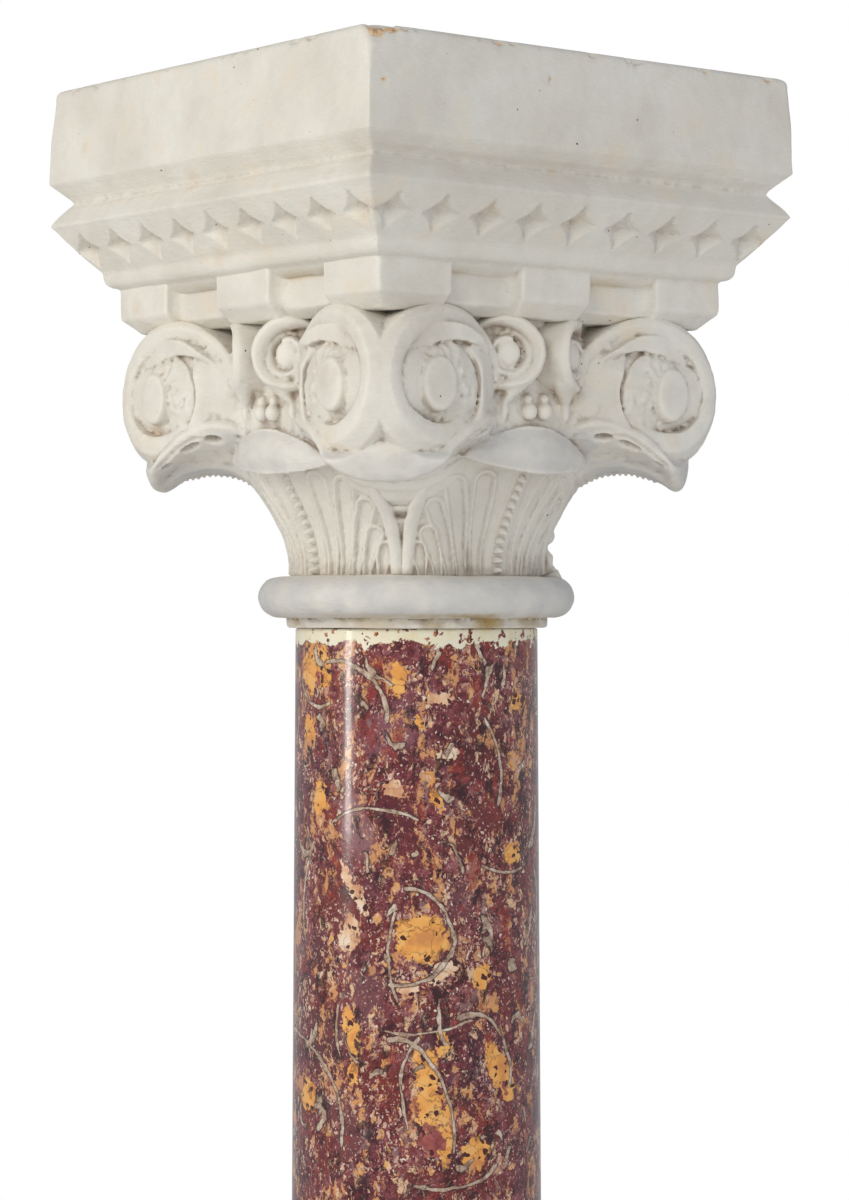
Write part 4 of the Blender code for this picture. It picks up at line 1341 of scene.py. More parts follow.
def painted_stone_material():
    """Carved stone under old cream oil paint, brushed on by hand in several coats.

    To the eye it is satin and uneven in tone, grey where rubbed, with grime and painted shade in the hollows
    and creases, and chipped in places.
    """
    material = bpy.data.materials.new("old cream paint on carved stone")
    material.use_nodes = True
    tree = material.node_tree
    shader = tree.nodes["Principled BSDF"]
    place = add(tree, "ShaderNodeTexCoord").outputs["Object"]
    crease_grime_and_shade, arris, shelter_shade_and_dust, grey_coat, stain, chip = (
        add(tree, "ShaderNodeAttribute", attribute_name=name).outputs["Fac"]
        for name in ("crease_grime_and_shade", "arris", "shelter_shade_and_dust", "grey_coat", "stain", "chip"))
    # Size in metres, detail and roughness of the patches of each kind
    coats, warm, rubbed, dust_and_shade_patches, grime_and_shade_breaks, bare = (
        add(tree, "ShaderNodeTexNoise", {"Vector": place, "Scale": 1 / size, "Detail": detail,
                                         "Roughness": rough}).outputs["Fac"]
        for size, detail, rough in ((0.060, 5.0, 0.6), (0.030, 3.0, 0.5), (0.018, 4.0, 0.5),
                                    (0.010, 5.0, 0.5), (0.006, 3.0, 0.5), (0.004, 3.0, 0.5)))
    colour = add(tree, "ShaderNodeValToRGB", {"Fac": coats},
                 stops=((0.30, "#D3CCC1"), (0.48, "#DBD7CD"), (0.62, "#E2DFD6"),
                        (0.78, "#D7D6D2"))).outputs[0]
    colour = lay(tree, colour, srgb("#DDC7A6"), warm, 0.56, 0.74, 0.40)
    # The greyer coat is rubbed through here and there
    rub = add(tree, "ShaderNodeMapRange", {"Value": rubbed, "From Min": 0.30, "From Max": 0.62,
                                           "To Min": 0.35})
    grey = add(tree, "ShaderNodeMath", {0: grey_coat, 1: rub.outputs[0]}, operation="MULTIPLY")
    colour = lay(tree, colour, srgb("#C6C5C3"), grey.outputs[0])
    # Dirt and painted shade darken the sheltered recesses, and arrises are rubbed a little paler
    depth = add(tree, "ShaderNodeMapRange", {"Value": shelter_shade_and_dust, "From Min": 0.24, "From Max": 0.82,
                                             "To Max": 1.25})
    dust_and_painted_shade = add(tree, "ShaderNodeMath", {0: depth.outputs[0], 1: dust_and_shade_patches}, operation="MULTIPLY")
    colour = lay(tree, colour, srgb("#A08872"), dust_and_painted_shade.outputs[0])
    colour = lay(tree, colour, srgb("#EBE7DD"), arris, 0.10, 0.60, 0.55)
    # Grime and painted shade lie in thin broken lines along the creases, and the ochre stain in broken
    # patches
    for value, low, high, most, breaks, start, end, code in (
            (crease_grime_and_shade, 0.12, 0.62, 0.85, grime_and_shade_breaks, 0.40, 0.62, "#7A6750"),
            (stain, 0.0, 1.0, 1.0, warm, 0.42, 0.60, "#A98F55")):
        shape = add(tree, "ShaderNodeMapRange", {"Value": value, "From Min": low, "From Max": high,
                                                 "To Max": most})
        broken = add(tree, "ShaderNodeMapRange", {"Value": breaks, "From Min": start, "From Max": end})
        share = add(tree, "ShaderNodeMath", {0: shape.outputs[0], 1: broken.outputs[0]}, operation="MULTIPLY")
        colour = lay(tree, colour, srgb(code), share.outputs[0])
    # Pits of about 1 mm, where air bubbles and knocks opened the paint
    cells = add(tree, "ShaderNodeTexVoronoi", {"Vector": place, "Scale": 1 / 0.009})
    zone = add(tree, "ShaderNodeTexNoise", {"Vector": place, "Scale": 1 / 0.035, "Detail": 2.0})
    size = add(tree, "ShaderNodeMapRange", {"Value": zone.outputs["Fac"], "From Min": 0.50, "From Max": 0.78,
                                            "To Max": 0.13})
    pit = add(tree, "ShaderNodeMath", {0: cells.outputs["Distance"], 1: size.outputs[0]},
              operation="LESS_THAN").outputs[0]
    colour = lay(tree, colour, srgb("#5B5146"), pit)
    # Bare stone shows warm and grey in the chips
    stone = add(tree, "ShaderNodeValToRGB", {"Fac": bare},
                stops=((0.34, "#94806E"), (0.45, "#DDB489"), (0.60, "#E8CFAB"))).outputs[0]
    chipped = add(tree, "ShaderNodeMath", {0: chip, 1: bare}, operation="MULTIPLY").outputs[0]
    colour = lay(tree, colour, stone, chipped, 0.22, 0.36)
    tree.links.new(colour, shader.inputs["Base Color"])
    # The grey coat is glossier, and the sheltered hollows are duller
    polish = add(tree, "ShaderNodeMapRange", {"Value": grey_coat, "To Min": 0.50, "To Max": 0.31})
    dull = add(tree, "ShaderNodeMath", {0: shelter_shade_and_dust, 1: 0.25, 2: polish.outputs[0]}, operation="MULTIPLY_ADD")
    tree.links.new(dull.outputs[0], shader.inputs["Roughness"])
    # Brush marks about 2 mm apart and the stone's grain under them
    strokes = add(tree, "ShaderNodeMapping", {"Vector": place, "Scale": (1.0, 1.0, 3.2)})
    brush = add(tree, "ShaderNodeTexNoise", {"Vector": strokes.outputs[0], "Scale": 1 / 0.006, "Detail": 6.0,
                                             "Roughness": 0.62})
    rough = add(tree, "ShaderNodeBump", {"Strength": 0.55, "Distance": 0.0012,
                                         "Height": brush.outputs["Fac"]})
    sunk = add(tree, "ShaderNodeBump", {"Strength": 0.8, "Distance": 0.0006, "Height": pit,
                                        "Normal": rough.outputs[0]}, invert=True)
    tree.links.new(sunk.outputs[0], shader.inputs["Normal"])
    return material


# Large yellow lumps of the marble: place round the shaft from the viewer's side, height, half width and
# half height, all in metres, and tilt in degrees
LUMPS = ((-0.0820, 1.449, 0.0180, 0.0168, 5), (-0.0116, 1.442, 0.0067, 0.0099, 0),
         (0.0025, 1.415, 0.0030, 0.0033, 0), (-0.0762, 1.361, 0.0086, 0.0121, 5),
         (0.0152, 1.362, 0.0034, 0.0086, 8), (0.0833, 1.428, 0.0084, 0.0061, 0),
         (0.0751, 1.324, 0.0074, 0.0074, 0), (0.0039, 1.271, 0.0172, 0.0160, -30),
         (0.0089, 1.169, 0.0085, 0.0300, 10), (0.0139, 1.145, 0.0105, 0.0240, 16),
         (0.0619, 1.180, 0.0088, 0.0228, 28), (0.0470, 1.244, 0.0070, 0.0100, 0),
         (0.0406, 1.128, 0.0090, 0.0120, 20), (0.0181, 1.200, 0.0041, 0.0099, 10),
         (-0.0470, 1.208, 0.0050, 0.0173, 10), (-0.0430, 1.181, 0.0046, 0.0080, -10),
         (-0.0872, 1.161, 0.0103, 0.0122, 15), (-0.0885, 1.407, 0.0079, 0.0095, 0),
         (0.1500, 1.300, 0.0180, 0.0260, 20), (0.2200, 1.210, 0.0140, 0.0300, -15),
         (-0.1700, 1.360, 0.0150, 0.0220, 30), (0.1850, 0.900, 0.0160, 0.0240, 10),
         (0.0200, 0.820, 0.0170, 0.0260, -20), (-0.1100, 0.700, 0.0140, 0.0240, 25))
# Paler lumps of the same kind
PALE_LUMPS = ((0.0166, 1.429, 0.0101, 0.0046, 10), (0.0224, 1.392, 0.0069, 0.0060, 0),
              (-0.0478, 1.272, 0.0079, 0.0127, 0), (-0.0454, 1.305, 0.0036, 0.0240, 28),
              (-0.0152, 1.369, 0.0061, 0.0053, 0), (0.0190, 1.249, 0.0040, 0.0150, -52),
              (-0.0060, 1.236, 0.0060, 0.0080, 0), (0.1300, 1.120, 0.0120, 0.0160, 0),
              (-0.1500, 1.200, 0.0100, 0.0180, 15), (0.0900, 0.960, 0.0110, 0.0150, -10))
# Brick-red inclusions in them
RED_LUMPS = ((0.0109, 1.137, 0.0092, 0.0098, 0), (0.0230, 0.812, 0.0080, 0.0090, 0),
             (0.1550, 1.292, 0.0070, 0.0090, 0), (-0.0790, 1.440, 0.0040, 0.0060, 0),
             (0.0655, 1.170, 0.0030, 0.0060, 30))
# Smooth drifts in the paste: the same values and a colour
DRIFTS = ((-0.0582, 1.294, 0.0170, 0.0280, 10, "#6E2F2A"), (-0.0336, 1.232, 0.0120, 0.0220, 0, "#73454A"),
          (-0.0173, 1.408, 0.0240, 0.0160, 30, "#80505A"), (-0.0420, 1.345, 0.0130, 0.0230, 20, "#8E6468"),
          (0.0480, 1.395, 0.0200, 0.0260, 0, "#571F24"), (-0.0150, 1.350, 0.0160, 0.0150, 0, "#5A2129"),
          (0.0350, 1.340, 0.0220, 0.0200, 30, "#672B2C"), (-0.0700, 1.200, 0.0160, 0.0240, 0, "#5E3236"),
          (0.0050, 1.205, 0.0200, 0.0120, 0, "#562530"), (-0.0520, 1.145, 0.0130, 0.0260, 15, "#733F40"),
          (0.0460, 1.215, 0.0100, 0.0180, 15, "#4B1D25"), (-0.0750, 1.250, 0.0120, 0.0200, 0, "#5B2A2C"),
          (0.0300, 1.295, 0.0130, 0.0160, 20, "#6D3D43"), (0.1500, 1.180, 0.0280, 0.0380, 20, "#6E2F2A"),
          (-0.1400, 1.280, 0.0280, 0.0340, -20, "#73454A"), (0.1900, 1.000, 0.0300, 0.0400, 0, "#6C3236"),
          (-0.0400, 0.920, 0.0280, 0.0380, 15, "#73454A"), (0.0400, 0.640, 0.0260, 0.0440, -10, "#672B2C"),
          (-0.1300, 0.480, 0.0280, 0.0420, 10, "#6E2F2A"), (0.0700, 0.340, 0.0280, 0.0360, 0, "#73454A"))
# Shells: the same values, and the direction of the part that is kept
SHELLS = ((-0.0762, 1.449, 0.0257, 0.0255, 0, -0.5, -1.0), (0.0011, 1.260, 0.0205, 0.0398, 0, -1.0, -0.1),
          (-0.0046, 1.266, 0.0299, 0.0371, -10, 0.8, 1.0), (-0.0088, 1.270, 0.0346, 0.0305, 0, 0.9, -1.0),
          (0.0102, 1.164, 0.0194, 0.0411, 6, -1.0, 0.5), (-0.0081, 1.144, 0.0333, 0.0610, 8, 1.0, 0.8),
          (0.0390, 1.174, 0.0326, 0.0452, 0, 0.8, 1.0), (-0.1133, 1.140, 0.0607, 0.0614, 12, 1.0, 0.7),
          (-0.0582, 1.420, 0.0379, 0.0334, 0, 0.9, 1.0), (-0.0336, 1.329, 0.0432, 0.0266, 10, 0.2, 1.0),
          (0.0872, 1.289, 0.0258, 0.0371, 0, 1.0, 0.0), (0.0698, 1.327, 0.0255, 0.0148, 0, -0.2, -1.0),
          (-0.0478, 1.205, 0.0102, 0.0227, 10, -1.0, 0.2), (0.0202, 1.130, 0.0409, 0.0265, 0, 0.3, -1.0),
          (-0.0677, 1.294, 0.0286, 0.0469, -10, -1.0, 0.0), (0.0390, 1.389, 0.0222, 0.0399, 20, 1.0, -0.3),
          (0.0095, 1.223, 0.0400, 0.0146, 8, -0.1, -1.0), (0.1500, 1.290, 0.0300, 0.0420, 0, -1.0, 0.3),
          (-0.1700, 1.350, 0.0280, 0.0400, 20, 1.0, 0.2), (0.0200, 0.810, 0.0320, 0.0460, 0, -1.0, -0.4))


def stirred(tree, place, size, amount):
    """A place pushed about by noise of a size, by an amount in metres."""
    stir = add(tree, "ShaderNodeTexNoise", {"Vector": place, "Scale": 1 / size, "Detail": 4.0,
                                            "Roughness": 0.6})
    centred = add(tree, "ShaderNodeVectorMath", {0: stir.outputs["Color"], 1: (0.5, 0.5, 0.5)},
                  operation="SUBTRACT")
    return add(tree, "ShaderNodeVectorMath", {0: centred.outputs[0], 1: (amount * 2, amount * 2, amount * 2),
                                              2: place}, operation="MULTIPLY_ADD").outputs[0]


def seen_from(tree, place, item):
    """A place in the frame of a lump or shell, scaled so that its outline has radius 1."""
    around, level, half_width, half_height, tilt = item[:5]
    return add(tree, "ShaderNodeMapping", {"Vector": place, "Location": (around, level, 0.0),
                                           "Rotation": (0.0, 0.0, radians(tilt)),
                                           "Scale": (half_width, half_height, 1.0)},
               vector_type="TEXTURE").outputs[0]


def least(tree, values):
    """The smallest of many values."""
    smallest = values[0]
    for value in values[1:]:
        smallest = add(tree, "ShaderNodeMath", {0: smallest, 1: value}, operation="MINIMUM").outputs[0]
    return smallest


def lumps_distance(tree, place, lumps):
    """Distance from the nearest lump's middle, where 1 is its outline."""
    return least(tree, [add(tree, "ShaderNodeVectorMath", {0: seen_from(tree, place, item)},
                            operation="LENGTH").outputs["Value"] for item in lumps])


def shell_distance(tree, place, item):
    """Distance in metres from a shell's line, and far away beside the part that is kept."""
    seen = seen_from(tree, place, item)
    length = add(tree, "ShaderNodeVectorMath", {0: seen}, operation="LENGTH").outputs["Value"]
    away = add(tree, "ShaderNodeMath", {0: length, 1: 1.0}, operation="SUBTRACT").outputs[0]
    near = add(tree, "ShaderNodeMath", {0: away}, operation="ABSOLUTE").outputs[0]
    facing = add(tree, "ShaderNodeVectorMath", {0: seen, 1: (item[5], item[6], 0.0)},
                 operation="DOT_PRODUCT").outputs["Value"]
    cut = add(tree, "ShaderNodeMapRange", {"Value": facing, "From Min": 0.72, "From Max": 0.40,
                                           "To Max": 0.010}).outputs[0]
    return add(tree, "ShaderNodeMath", {0: near, 1: (item[2] + item[3]) / 2, 2: cut},
               operation="MULTIPLY_ADD").outputs[0]


def scattered_shells(tree, place, size, radius, shift):
    """Distance in metres from the nearest of many short arcs, cut from spheres in cells of a size."""
    moved = add(tree, "ShaderNodeVectorMath", {0: place, 1: (1 / size, 1 / size, 0.6 / size),
                                               2: (shift, shift, shift)}, operation="MULTIPLY_ADD").outputs[0]
    cells = add(tree, "ShaderNodeTexVoronoi", {"Vector": moved, "Scale": 1.0})
    spoke = add(tree, "ShaderNodeVectorMath", {0: moved, 1: cells.outputs["Position"]}, operation="SUBTRACT")
    lean = add(tree, "ShaderNodeVectorMath", {0: cells.outputs["Color"], 1: (0.5, 0.5, 0.5)},
               operation="SUBTRACT")
    unit = add(tree, "ShaderNodeVectorMath", {0: lean.outputs[0]}, operation="NORMALIZE")
    facing = add(tree, "ShaderNodeVectorMath", {0: spoke.outputs[0], 1: unit.outputs[0]},
                 operation="DOT_PRODUCT")
    away = add(tree, "ShaderNodeMath", {0: cells.outputs["Distance"], 1: radius}, operation="SUBTRACT")
    near = add(tree, "ShaderNodeMath", {0: away.outputs[0]}, operation="ABSOLUTE")
    cut = add(tree, "ShaderNodeMapRange", {"Value": facing.outputs["Value"], "From Min": radius * 0.85,
                                           "From Max": radius * 0.45, "To Max": 0.004}).outputs[0]
    return add(tree, "ShaderNodeMath", {0: near.outputs[0], 1: size, 2: cut},
               operation="MULTIPLY_ADD").outputs[0]


def unrolled(tree, place):
    """Place round the shaft, from the side that the photograph shows, against height."""
    back = (sin(CAMERA_AZIMUTH), -cos(CAMERA_AZIMUTH), 0.0)
    side = (cos(CAMERA_AZIMUTH), sin(CAMERA_AZIMUTH), 0.0)
    toward, right = (add(tree, "ShaderNodeVectorMath", {0: place, 1: way},
                         operation="DOT_PRODUCT").outputs["Value"] for way in (back, side))
    angle = add(tree, "ShaderNodeMath", {0: right, 1: toward}, operation="ARCTAN2").outputs[0]
    around = add(tree, "ShaderNodeMath", {0: angle, 1: SHAFT_SEEN_RADIUS}, operation="MULTIPLY").outputs[0]
    level = add(tree, "ShaderNodeSeparateXYZ", {0: place}).outputs["Z"]
    return add(tree, "ShaderNodeCombineXYZ", {"X": around, "Y": level}).outputs[0]


def marble_paste(tree, bent, fine, flat):
    """The marble's paste: maroon, with purple, brick and mauve drifts of one colour under the crumbs."""
    colour = add(tree, "ShaderNodeValToRGB", {"Fac": fine},
                 stops=((0.32, "#1F0C11"), (0.42, "#43171E"), (0.50, "#6B2A2F"), (0.57, "#86464C"),
                        (0.65, "#A06C68"), (0.76, "#CDAEA0"))).outputs[0]
    drift = add(tree, "ShaderNodeTexNoise", {"Vector": bent, "Scale": 1 / 0.040,
                                             "Detail": 4.0}).outputs["Fac"]
    colour = lay(tree, colour, srgb("#752B22"), drift, 0.52, 0.66, 0.72)
    colour = lay(tree, colour, srgb("#4B2A38"), drift, 0.46, 0.34, 0.50)
    soft_edge = stirred(tree, stirred(tree, flat, 0.024, 0.012), 0.006, 0.004)
    for item in DRIFTS:
        away = lumps_distance(tree, soft_edge, (item,))
        colour = lay(tree, colour, srgb(item[5]), away, 1.10, 0.70, 0.85)
    return colour


def marble_crumbs(tree, colour, bent, pushed):
    """Crumbs from 12 mm down to 1 mm, sparse in quiet zones of the stone and crowded in busy ones."""
    zone = add(tree, "ShaderNodeTexNoise", {"Vector": bent, "Scale": 1 / 0.028, "Detail": 3.0,
                                            "Roughness": 0.6}).outputs["Fac"]
    busy = add(tree, "ShaderNodeMapRange", {"Value": zone, "From Min": 0.47, "From Max": 0.60}).outputs[0]
    # Size, share of the cells filled in quiet and in busy zones, and colours
    layers = ((0.0120, 0.00, 0.11, ("#C0804C", "#D99B58", "#B08A7A")),
              (0.0062, 0.02, 0.20, ("#CE9258", "#DDA86C", "#8E4A3C")),
              (0.0032, 0.02, 0.28, ("#CFA688", "#A8685A", "#DCC2AA")),
              (0.0016, 0.04, 0.28, ("#D6BAA6", "#B07A70", "#E4D2C0")),
              (0.0009, 0.10, 0.20, ("#B88C80", "#8A4A4C", "#DCC6B8")))
    for number, (size, quiet, crowded, tones) in enumerate(layers):
        leaned = add(tree, "ShaderNodeMapping", {"Vector": pushed, "Location": (0.31 * number, 0.17, 0.05),
                                                 "Rotation": (0.5, 0.3, 0.2),
                                                 "Scale": (1.0, 1.0, 0.66)}).outputs[0]
        cells = add(tree, "ShaderNodeTexVoronoi", {"Vector": leaned, "Scale": 1 / size})
        parts = add(tree, "ShaderNodeSeparateColor", {0: cells.outputs["Color"]})
        share = add(tree, "ShaderNodeMapRange", {"Value": busy, "To Min": quiet,
                                                 "To Max": crowded}).outputs[0]
        chosen = add(tree, "ShaderNodeMath", {0: parts.outputs[0], 1: share},
                     operation="LESS_THAN").outputs[0]
        body = add(tree, "ShaderNodeMapRange", {"Value": cells.outputs["Distance"], "From Min": 0.52,
                                                "From Max": 0.42}).outputs[0]
        mask = add(tree, "ShaderNodeMath", {0: chosen, 1: body}, operation="MULTIPLY").outputs[0]
        tint = add(tree, "ShaderNodeValToRGB", {"Fac": parts.outputs[1]},
                   stops=((0.1, tones[0]), (0.5, tones[1]), (0.9, tones[2]))).outputs[0]
        colour = lay(tree, colour, tint, mask)
    return colour


def marble_streaks(tree, colour, pushed):
    """Ragged leaning streaks of peach, brick and grey crumbs too fine to tell apart."""
    leaning = add(tree, "ShaderNodeMapping", {"Vector": pushed, "Rotation": (0.35, -0.30, 0.0),
                                              "Scale": (1.0, 1.0, 0.48)}).outputs[0]
    # Size, where the noise is read, how much of it shows, colour and cover
    streaks = ((0.013, 3.1, 0.562, "#D59A66", 0.85), (0.009, 7.7, 0.590, "#E2BE98", 0.85),
               (0.014, 1.9, 0.565, "#8C2F26", 0.70), (0.017, 5.5, 0.590, "#9A7F7C", 0.50),
               (0.012, 4.3, 0.560, "#2A1016", 0.80))
    for size, seat, low, code, share in streaks:
        moved = add(tree, "ShaderNodeVectorMath", {0: leaning, 1: (seat, seat * 0.7, seat * 0.4)},
                    operation="ADD")
        crumbs = add(tree, "ShaderNodeTexNoise", {"Vector": moved.outputs[0], "Scale": 1 / size,
                                                  "Detail": 10.0, "Roughness": 0.74}).outputs["Fac"]
        colour = lay(tree, colour, srgb(code), crumbs, low, low + 0.012, share)
    return colour


def marble_lumps(tree, colour, bent, pushed, flat):
    """The large yellow, pale and red lumps, ragged at their edges, with dark pits and hair cracks in them."""
    bits = add(tree, "ShaderNodeTexVoronoi", {"Vector": pushed, "Scale": 1 / 0.0075})
    chipped = add(tree, "ShaderNodeVectorMath", {0: bits.outputs["Color"], 1: (0.5, 0.5, 0.5)},
                  operation="SUBTRACT")
    stepped = add(tree, "ShaderNodeVectorMath", {0: chipped.outputs[0], 1: (0.0048, 0.0048, 0.0), 2: flat},
                  operation="MULTIPLY_ADD").outputs[0]
    ragged = stirred(tree, stirred(tree, stepped, 0.014, 0.0065), 0.0040, 0.0022)
    pits = add(tree, "ShaderNodeTexVoronoi", {"Vector": pushed, "Scale": 1 / 0.0050})
    pick = add(tree, "ShaderNodeSeparateColor", {0: pits.outputs["Color"]}).outputs[0]
    size = add(tree, "ShaderNodeMapRange", {"Value": pick, "From Min": 0.40, "To Max": 0.52}).outputs[0]
    pit = add(tree, "ShaderNodeMath", {0: pits.outputs["Distance"], 1: size},
              operation="LESS_THAN").outputs[0]
    edges = add(tree, "ShaderNodeTexVoronoi", {"Vector": pushed, "Scale": 1 / 0.0230},
                feature="DISTANCE_TO_EDGE")
    crack = add(tree, "ShaderNodeMapRange", {"Value": edges.outputs["Distance"], "From Min": 0.016,
                                             "From Max": 0.006, "To Max": 0.45}).outputs[0]
    marks = add(tree, "ShaderNodeMath", {0: pit, 1: crack}, operation="MAXIMUM").outputs[0]
    tone = add(tree, "ShaderNodeTexNoise", {"Vector": bent, "Scale": 1 / 0.011, "Detail": 4.0}).outputs["Fac"]
    for lumps, stops in ((PALE_LUMPS, ((0.36, "#C9906A"), (0.50, "#E0B892"), (0.66, "#E6D2BC"))),
                         (LUMPS, ((0.34, "#CC8A4E"), (0.46, "#E49F4E"), (0.60, "#EAB163"),
                                  (0.74, "#DFAA72"))),
                         (RED_LUMPS, ((0.36, "#7A3638"), (0.50, "#9C504A"), (0.66, "#B26A5A")))):
        hue = add(tree, "ShaderNodeValToRGB", {"Fac": tone}, stops=stops).outputs[0]
        marked = lay(tree, hue, srgb("#4A1B1A"), marks)
        colour = lay(tree, colour, marked, lumps_distance(tree, ragged, lumps), 1.05, 0.96)
    return colour


def marble_shells(tree, colour, place, bent, fine, flat):
    """Shells with a dark line round them: large ones in their places, and small arcs all through."""
    curved = stirred(tree, flat, 0.028, 0.004)
    arcs = [shell_distance(tree, curved, item) for item in SHELLS]
    arcs += [scattered_shells(tree, bent, size, radius, shift)
             for size, radius, shift in ((0.038, 0.42, 0.0), (0.024, 0.38, 2.7))]
    swell = add(tree, "ShaderNodeTexNoise", {"Vector": place, "Scale": 1 / 0.012,
                                             "Detail": 2.0}).outputs["Fac"]
    thinned = add(tree, "ShaderNodeMath", {0: swell, 1: 0.0030, 2: least(tree, arcs)},
                  operation="MULTIPLY_ADD").outputs[0]
    shell = add(tree, "ShaderNodeValToRGB", {"Fac": fine},
                stops=((0.36, "#6E5347"), (0.46, "#A98D78"), (0.54, "#CDB7A2"), (0.64, "#E6DACB"))).outputs[0]
    colour = lay(tree, colour, srgb("#2A1517"), thinned, 0.0038, 0.0031, 0.85)
    return lay(tree, colour, shell, thinned, 0.0030, 0.0025, 0.88)


def marble_veins(tree, colour, pushed):
    """Thin dark veins."""
    vein = add(tree, "ShaderNodeTexNoise", {"Vector": pushed, "Scale": 1 / 0.022,
                                            "Detail": 5.0}).outputs["Fac"]
    offset = add(tree, "ShaderNodeMath", {0: vein, 1: 0.5}, operation="SUBTRACT").outputs[0]
    gap = add(tree, "ShaderNodeMath", {0: offset}, operation="ABSOLUTE").outputs[0]
    return lay(tree, colour, srgb("#2B1518"), gap, 0.010, 0.003, 0.55)


def flaked_paint(tree, colour, place):
    """The capital's paint over the shaft's head, where it has flaked: the colour and the paint's share."""
    level = add(tree, "ShaderNodeSeparateXYZ", {0: place}).outputs["Z"]
    border = add(tree, "ShaderNodeTexNoise", {"Vector": place, "Scale": 1 / 0.020, "Detail": 7.0,
                                              "Roughness": 0.62}).outputs["Fac"]
    reach = add(tree, "ShaderNodeMath", {0: border, 1: 0.034, 2: level}, operation="MULTIPLY_ADD").outputs[0]
    covered = add(tree, "ShaderNodeMath", {0: reach, 1: SHAFT_BOX[1].z + 0.0075},
                  operation="GREATER_THAN").outputs[0]
    flakes = add(tree, "ShaderNodeTexNoise", {"Vector": place, "Scale": 1 / 0.0055,
                                              "Detail": 4.0}).outputs["Fac"]
    kept = add(tree, "ShaderNodeMath", {0: flakes, 1: 0.40}, operation="GREATER_THAN").outputs[0]
    smear = add(tree, "ShaderNodeMath", {0: covered, 1: kept}, operation="MULTIPLY").outputs[0]
    old_paint = add(tree, "ShaderNodeValToRGB", {"Fac": border},
                    stops=((0.36, "#DDD0A6"), (0.50, "#E6DFC6"), (0.66, "#E9E4D2"))).outputs[0]
    return lay(tree, colour, old_paint, smear), smear


def marble_material():
    """Brocatelle marble, turned and polished.

    To the eye it is a glossy maroon paste full of crumbs, yellow lumps and grey arcs of shell.
    """
    material = bpy.data.materials.new("polished violet brocatelle marble")
    material.use_nodes = True
    tree = material.node_tree
    shader = tree.nodes["Principled BSDF"]
    place = add(tree, "ShaderNodeTexCoord").outputs["Object"]
    # Everything is pushed about by a few millimetres, so that no lump has a smooth edge
    bent = stirred(tree, place, 0.030, 0.008)
    pushed = stirred(tree, bent, 0.0070, 0.0032)
    flat = unrolled(tree, place)
    fine = add(tree, "ShaderNodeTexNoise", {"Vector": pushed, "Scale": 1 / 0.0085, "Detail": 9.0,
                                            "Roughness": 0.78, "Distortion": 0.5}).outputs["Fac"]
    colour = marble_paste(tree, bent, fine, flat)
    colour = marble_crumbs(tree, colour, bent, pushed)
    colour = marble_streaks(tree, colour, pushed)
    colour = marble_lumps(tree, colour, bent, pushed, flat)
    colour = marble_shells(tree, colour, place, bent, fine, flat)
    colour = marble_veins(tree, colour, pushed)
    colour, smear = flaked_paint(tree, colour, place)
    tree.links.new(colour, shader.inputs["Base Color"])
    gloss = add(tree, "ShaderNodeMapRange", {"Value": smear, "To Min": 0.20, "To Max": 0.55})
    tree.links.new(gloss.outputs[0], shader.inputs["Roughness"])
    shader.inputs["IOR"].default_value = 1.50
    shader.inputs["Coat Weight"].default_value = 0.35
    shader.inputs["Coat Roughness"].default_value = 0.07
    wave = add(tree, "ShaderNodeTexNoise", {"Vector": place, "Scale": 1 / 0.010, "Detail": 4.0})
    bump = add(tree, "ShaderNodeBump", {"Strength": 0.22, "Distance": 0.0006, "Height": wave.outputs["Fac"]})
    paint_edge = add(tree, "ShaderNodeBump", {"Strength": 0.7, "Distance": 0.0005, "Height": smear,
                                              "Normal": bump.outputs[0]})
    tree.links.new(paint_edge.outputs[0], shader.inputs["Normal"])
    return material


def floor_material():
    """Matt painted board, rolled: an even pale floor with a faint mottle."""
    material = bpy.data.materials.new("matt pale studio floor")
    material.use_nodes = True
    tree = material.node_tree
    shader = tree.nodes["Principled BSDF"]
    place = add(tree, "ShaderNodeTexCoord").outputs["Object"]
    mottle = add(tree, "ShaderNodeTexNoise", {"Vector": place, "Scale": 3.0, "Detail": 3.0})
    tone = add(tree, "ShaderNodeValToRGB", {"Fac": mottle.outputs["Fac"]},
               stops=((0.3, "#EBEAE7"), (0.7, "#F1F0EE")))
    tree.links.new(tone.outputs[0], shader.inputs["Base Color"])
    shader.inputs["Roughness"].default_value = 0.85
    return material


def build_floor():
    """A round pale floor under the column."""
    shape = bmesh.new()
    bmesh.ops.create_circle(shape, cap_ends=True, segments=96, radius=2.6)
    mesh = bpy.data.meshes.new("studio_floor")
    bmesh.ops.translate(shape, verts=shape.verts, vec=(0.0, 0.0, -0.0005))
    shape.to_mesh(mesh)
    shape.free()
    mesh.materials.append(floor_material())
    link("studio_floor", mesh)


def place_camera():
    """The camera, level and at the height of the astragal."""
    data = bpy.data.cameras.new("camera")
    data.lens = LENS
    data.sensor_width = SENSOR_WIDTH
    camera = bpy.data.objects.new("camera", data)
    bpy.context.scene.collection.objects.link(camera)
    back = Vector((sin(CAMERA_AZIMUTH), -cos(CAMERA_AZIMUTH), 0.0))
    side = Vector((cos(CAMERA_AZIMUTH), sin(CAMERA_AZIMUTH), 0.0))
    camera.location = back * CAMERA_DISTANCE + side * CAMERA_SIDE_STEP + Vector((0.0, 0.0, EYE_LEVEL))
    camera.rotation_euler = (pi / 2, 0.0, CAMERA_AZIMUTH)
    bpy.context.scene.camera = camera


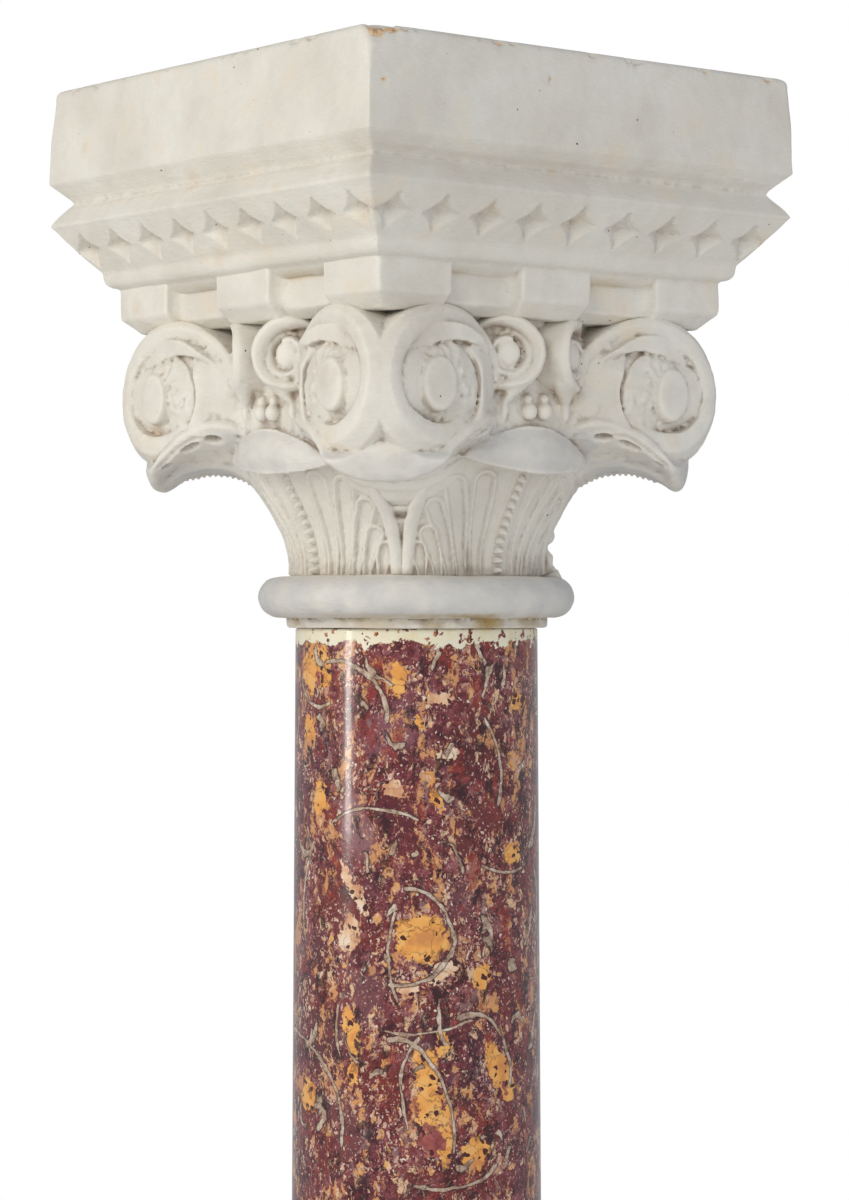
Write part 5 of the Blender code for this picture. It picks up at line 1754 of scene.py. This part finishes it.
def add_light(name, azimuth, distance, height, aim, width, tall, power, colour, mirrored=True):
    """A soft box at an azimuth from the viewer's side, aimed at a height on the axis."""
    data = bpy.data.lights.new(name, "AREA")
    data.shape = "RECTANGLE"
    data.size = width
    data.size_y = tall
    data.energy = power
    data.color = srgb(colour)[:3]
    light = bpy.data.objects.new(name, data)
    bpy.context.scene.collection.objects.link(light)
    angle = CAMERA_AZIMUTH + radians(azimuth)
    light.location = (distance * sin(angle), -distance * cos(angle), height)
    light.rotation_euler = (Vector((0.0, 0.0, aim)) - light.location).to_track_quat("-Z", "Y").to_euler()
    light.visible_glossy = mirrored


def light_studio():
    """Soft light from the left and front, a weaker cool fill, and a white surround."""
    add_light("key_softbox", -66, 2.4, 2.05, 1.6, 0.26, 1.75, 22, "#FFF9F0")
    add_light("front_softbox", -20, 3.2, 2.7, 1.5, 1.0, 1.0, 24, "#FFFCF6", False)
    add_light("right_fill", 58, 3.0, 1.8, 1.5, 1.0, 1.6, 11, "#F2F5FF", False)
    add_light("low_bounce", 6, 2.6, 0.5, 1.5, 1.8, 0.6, 12, "#FFFDF8", False)
    world = bpy.data.worlds.new("white studio")
    bpy.context.scene.world = world
    world.use_nodes = True
    tree = world.node_tree
    tree.nodes.clear()
    ray = add(tree, "ShaderNodeLightPath")
    surround = add(tree, "ShaderNodeBackground", {"Color": srgb("#F4F6FA"), "Strength": 0.46})
    seen = add(tree, "ShaderNodeBackground", {"Color": srgb("#FFFFFF"), "Strength": 1.0})
    mix = add(tree, "ShaderNodeMixShader", {0: ray.outputs["Is Camera Ray"], 1: surround.outputs[0],
                                            2: seen.outputs[0]})
    add(tree, "ShaderNodeOutputWorld", {"Surface": mix.outputs[0]})
    bpy.context.scene.view_settings.view_transform = "Standard"


def main():
    """Dress the column."""
    place_camera()
    light_studio()
    build_floor()
    painted = painted_stone_material()
    marble = marble_material()
    for piece, node, slot in ((build_foliage(painted), "capital", "painted_stone"),
                              (build_bell(painted), "capital", "painted_stone"),
                              (build_band(painted), "capital", "painted_stone"),
                              (build_cornice(painted), "capital", "painted_stone"),
                              (build_shaft(marble), "shaft", "marble"),
                              (build_base(painted), "base", "painted_stone")):
        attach(piece, "root")
        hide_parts(node)
        triangles = sum(len(face.vertices) - 2 for face in piece.data.polygons)
        print(f"{piece.name}: {triangles} triangles")


main()
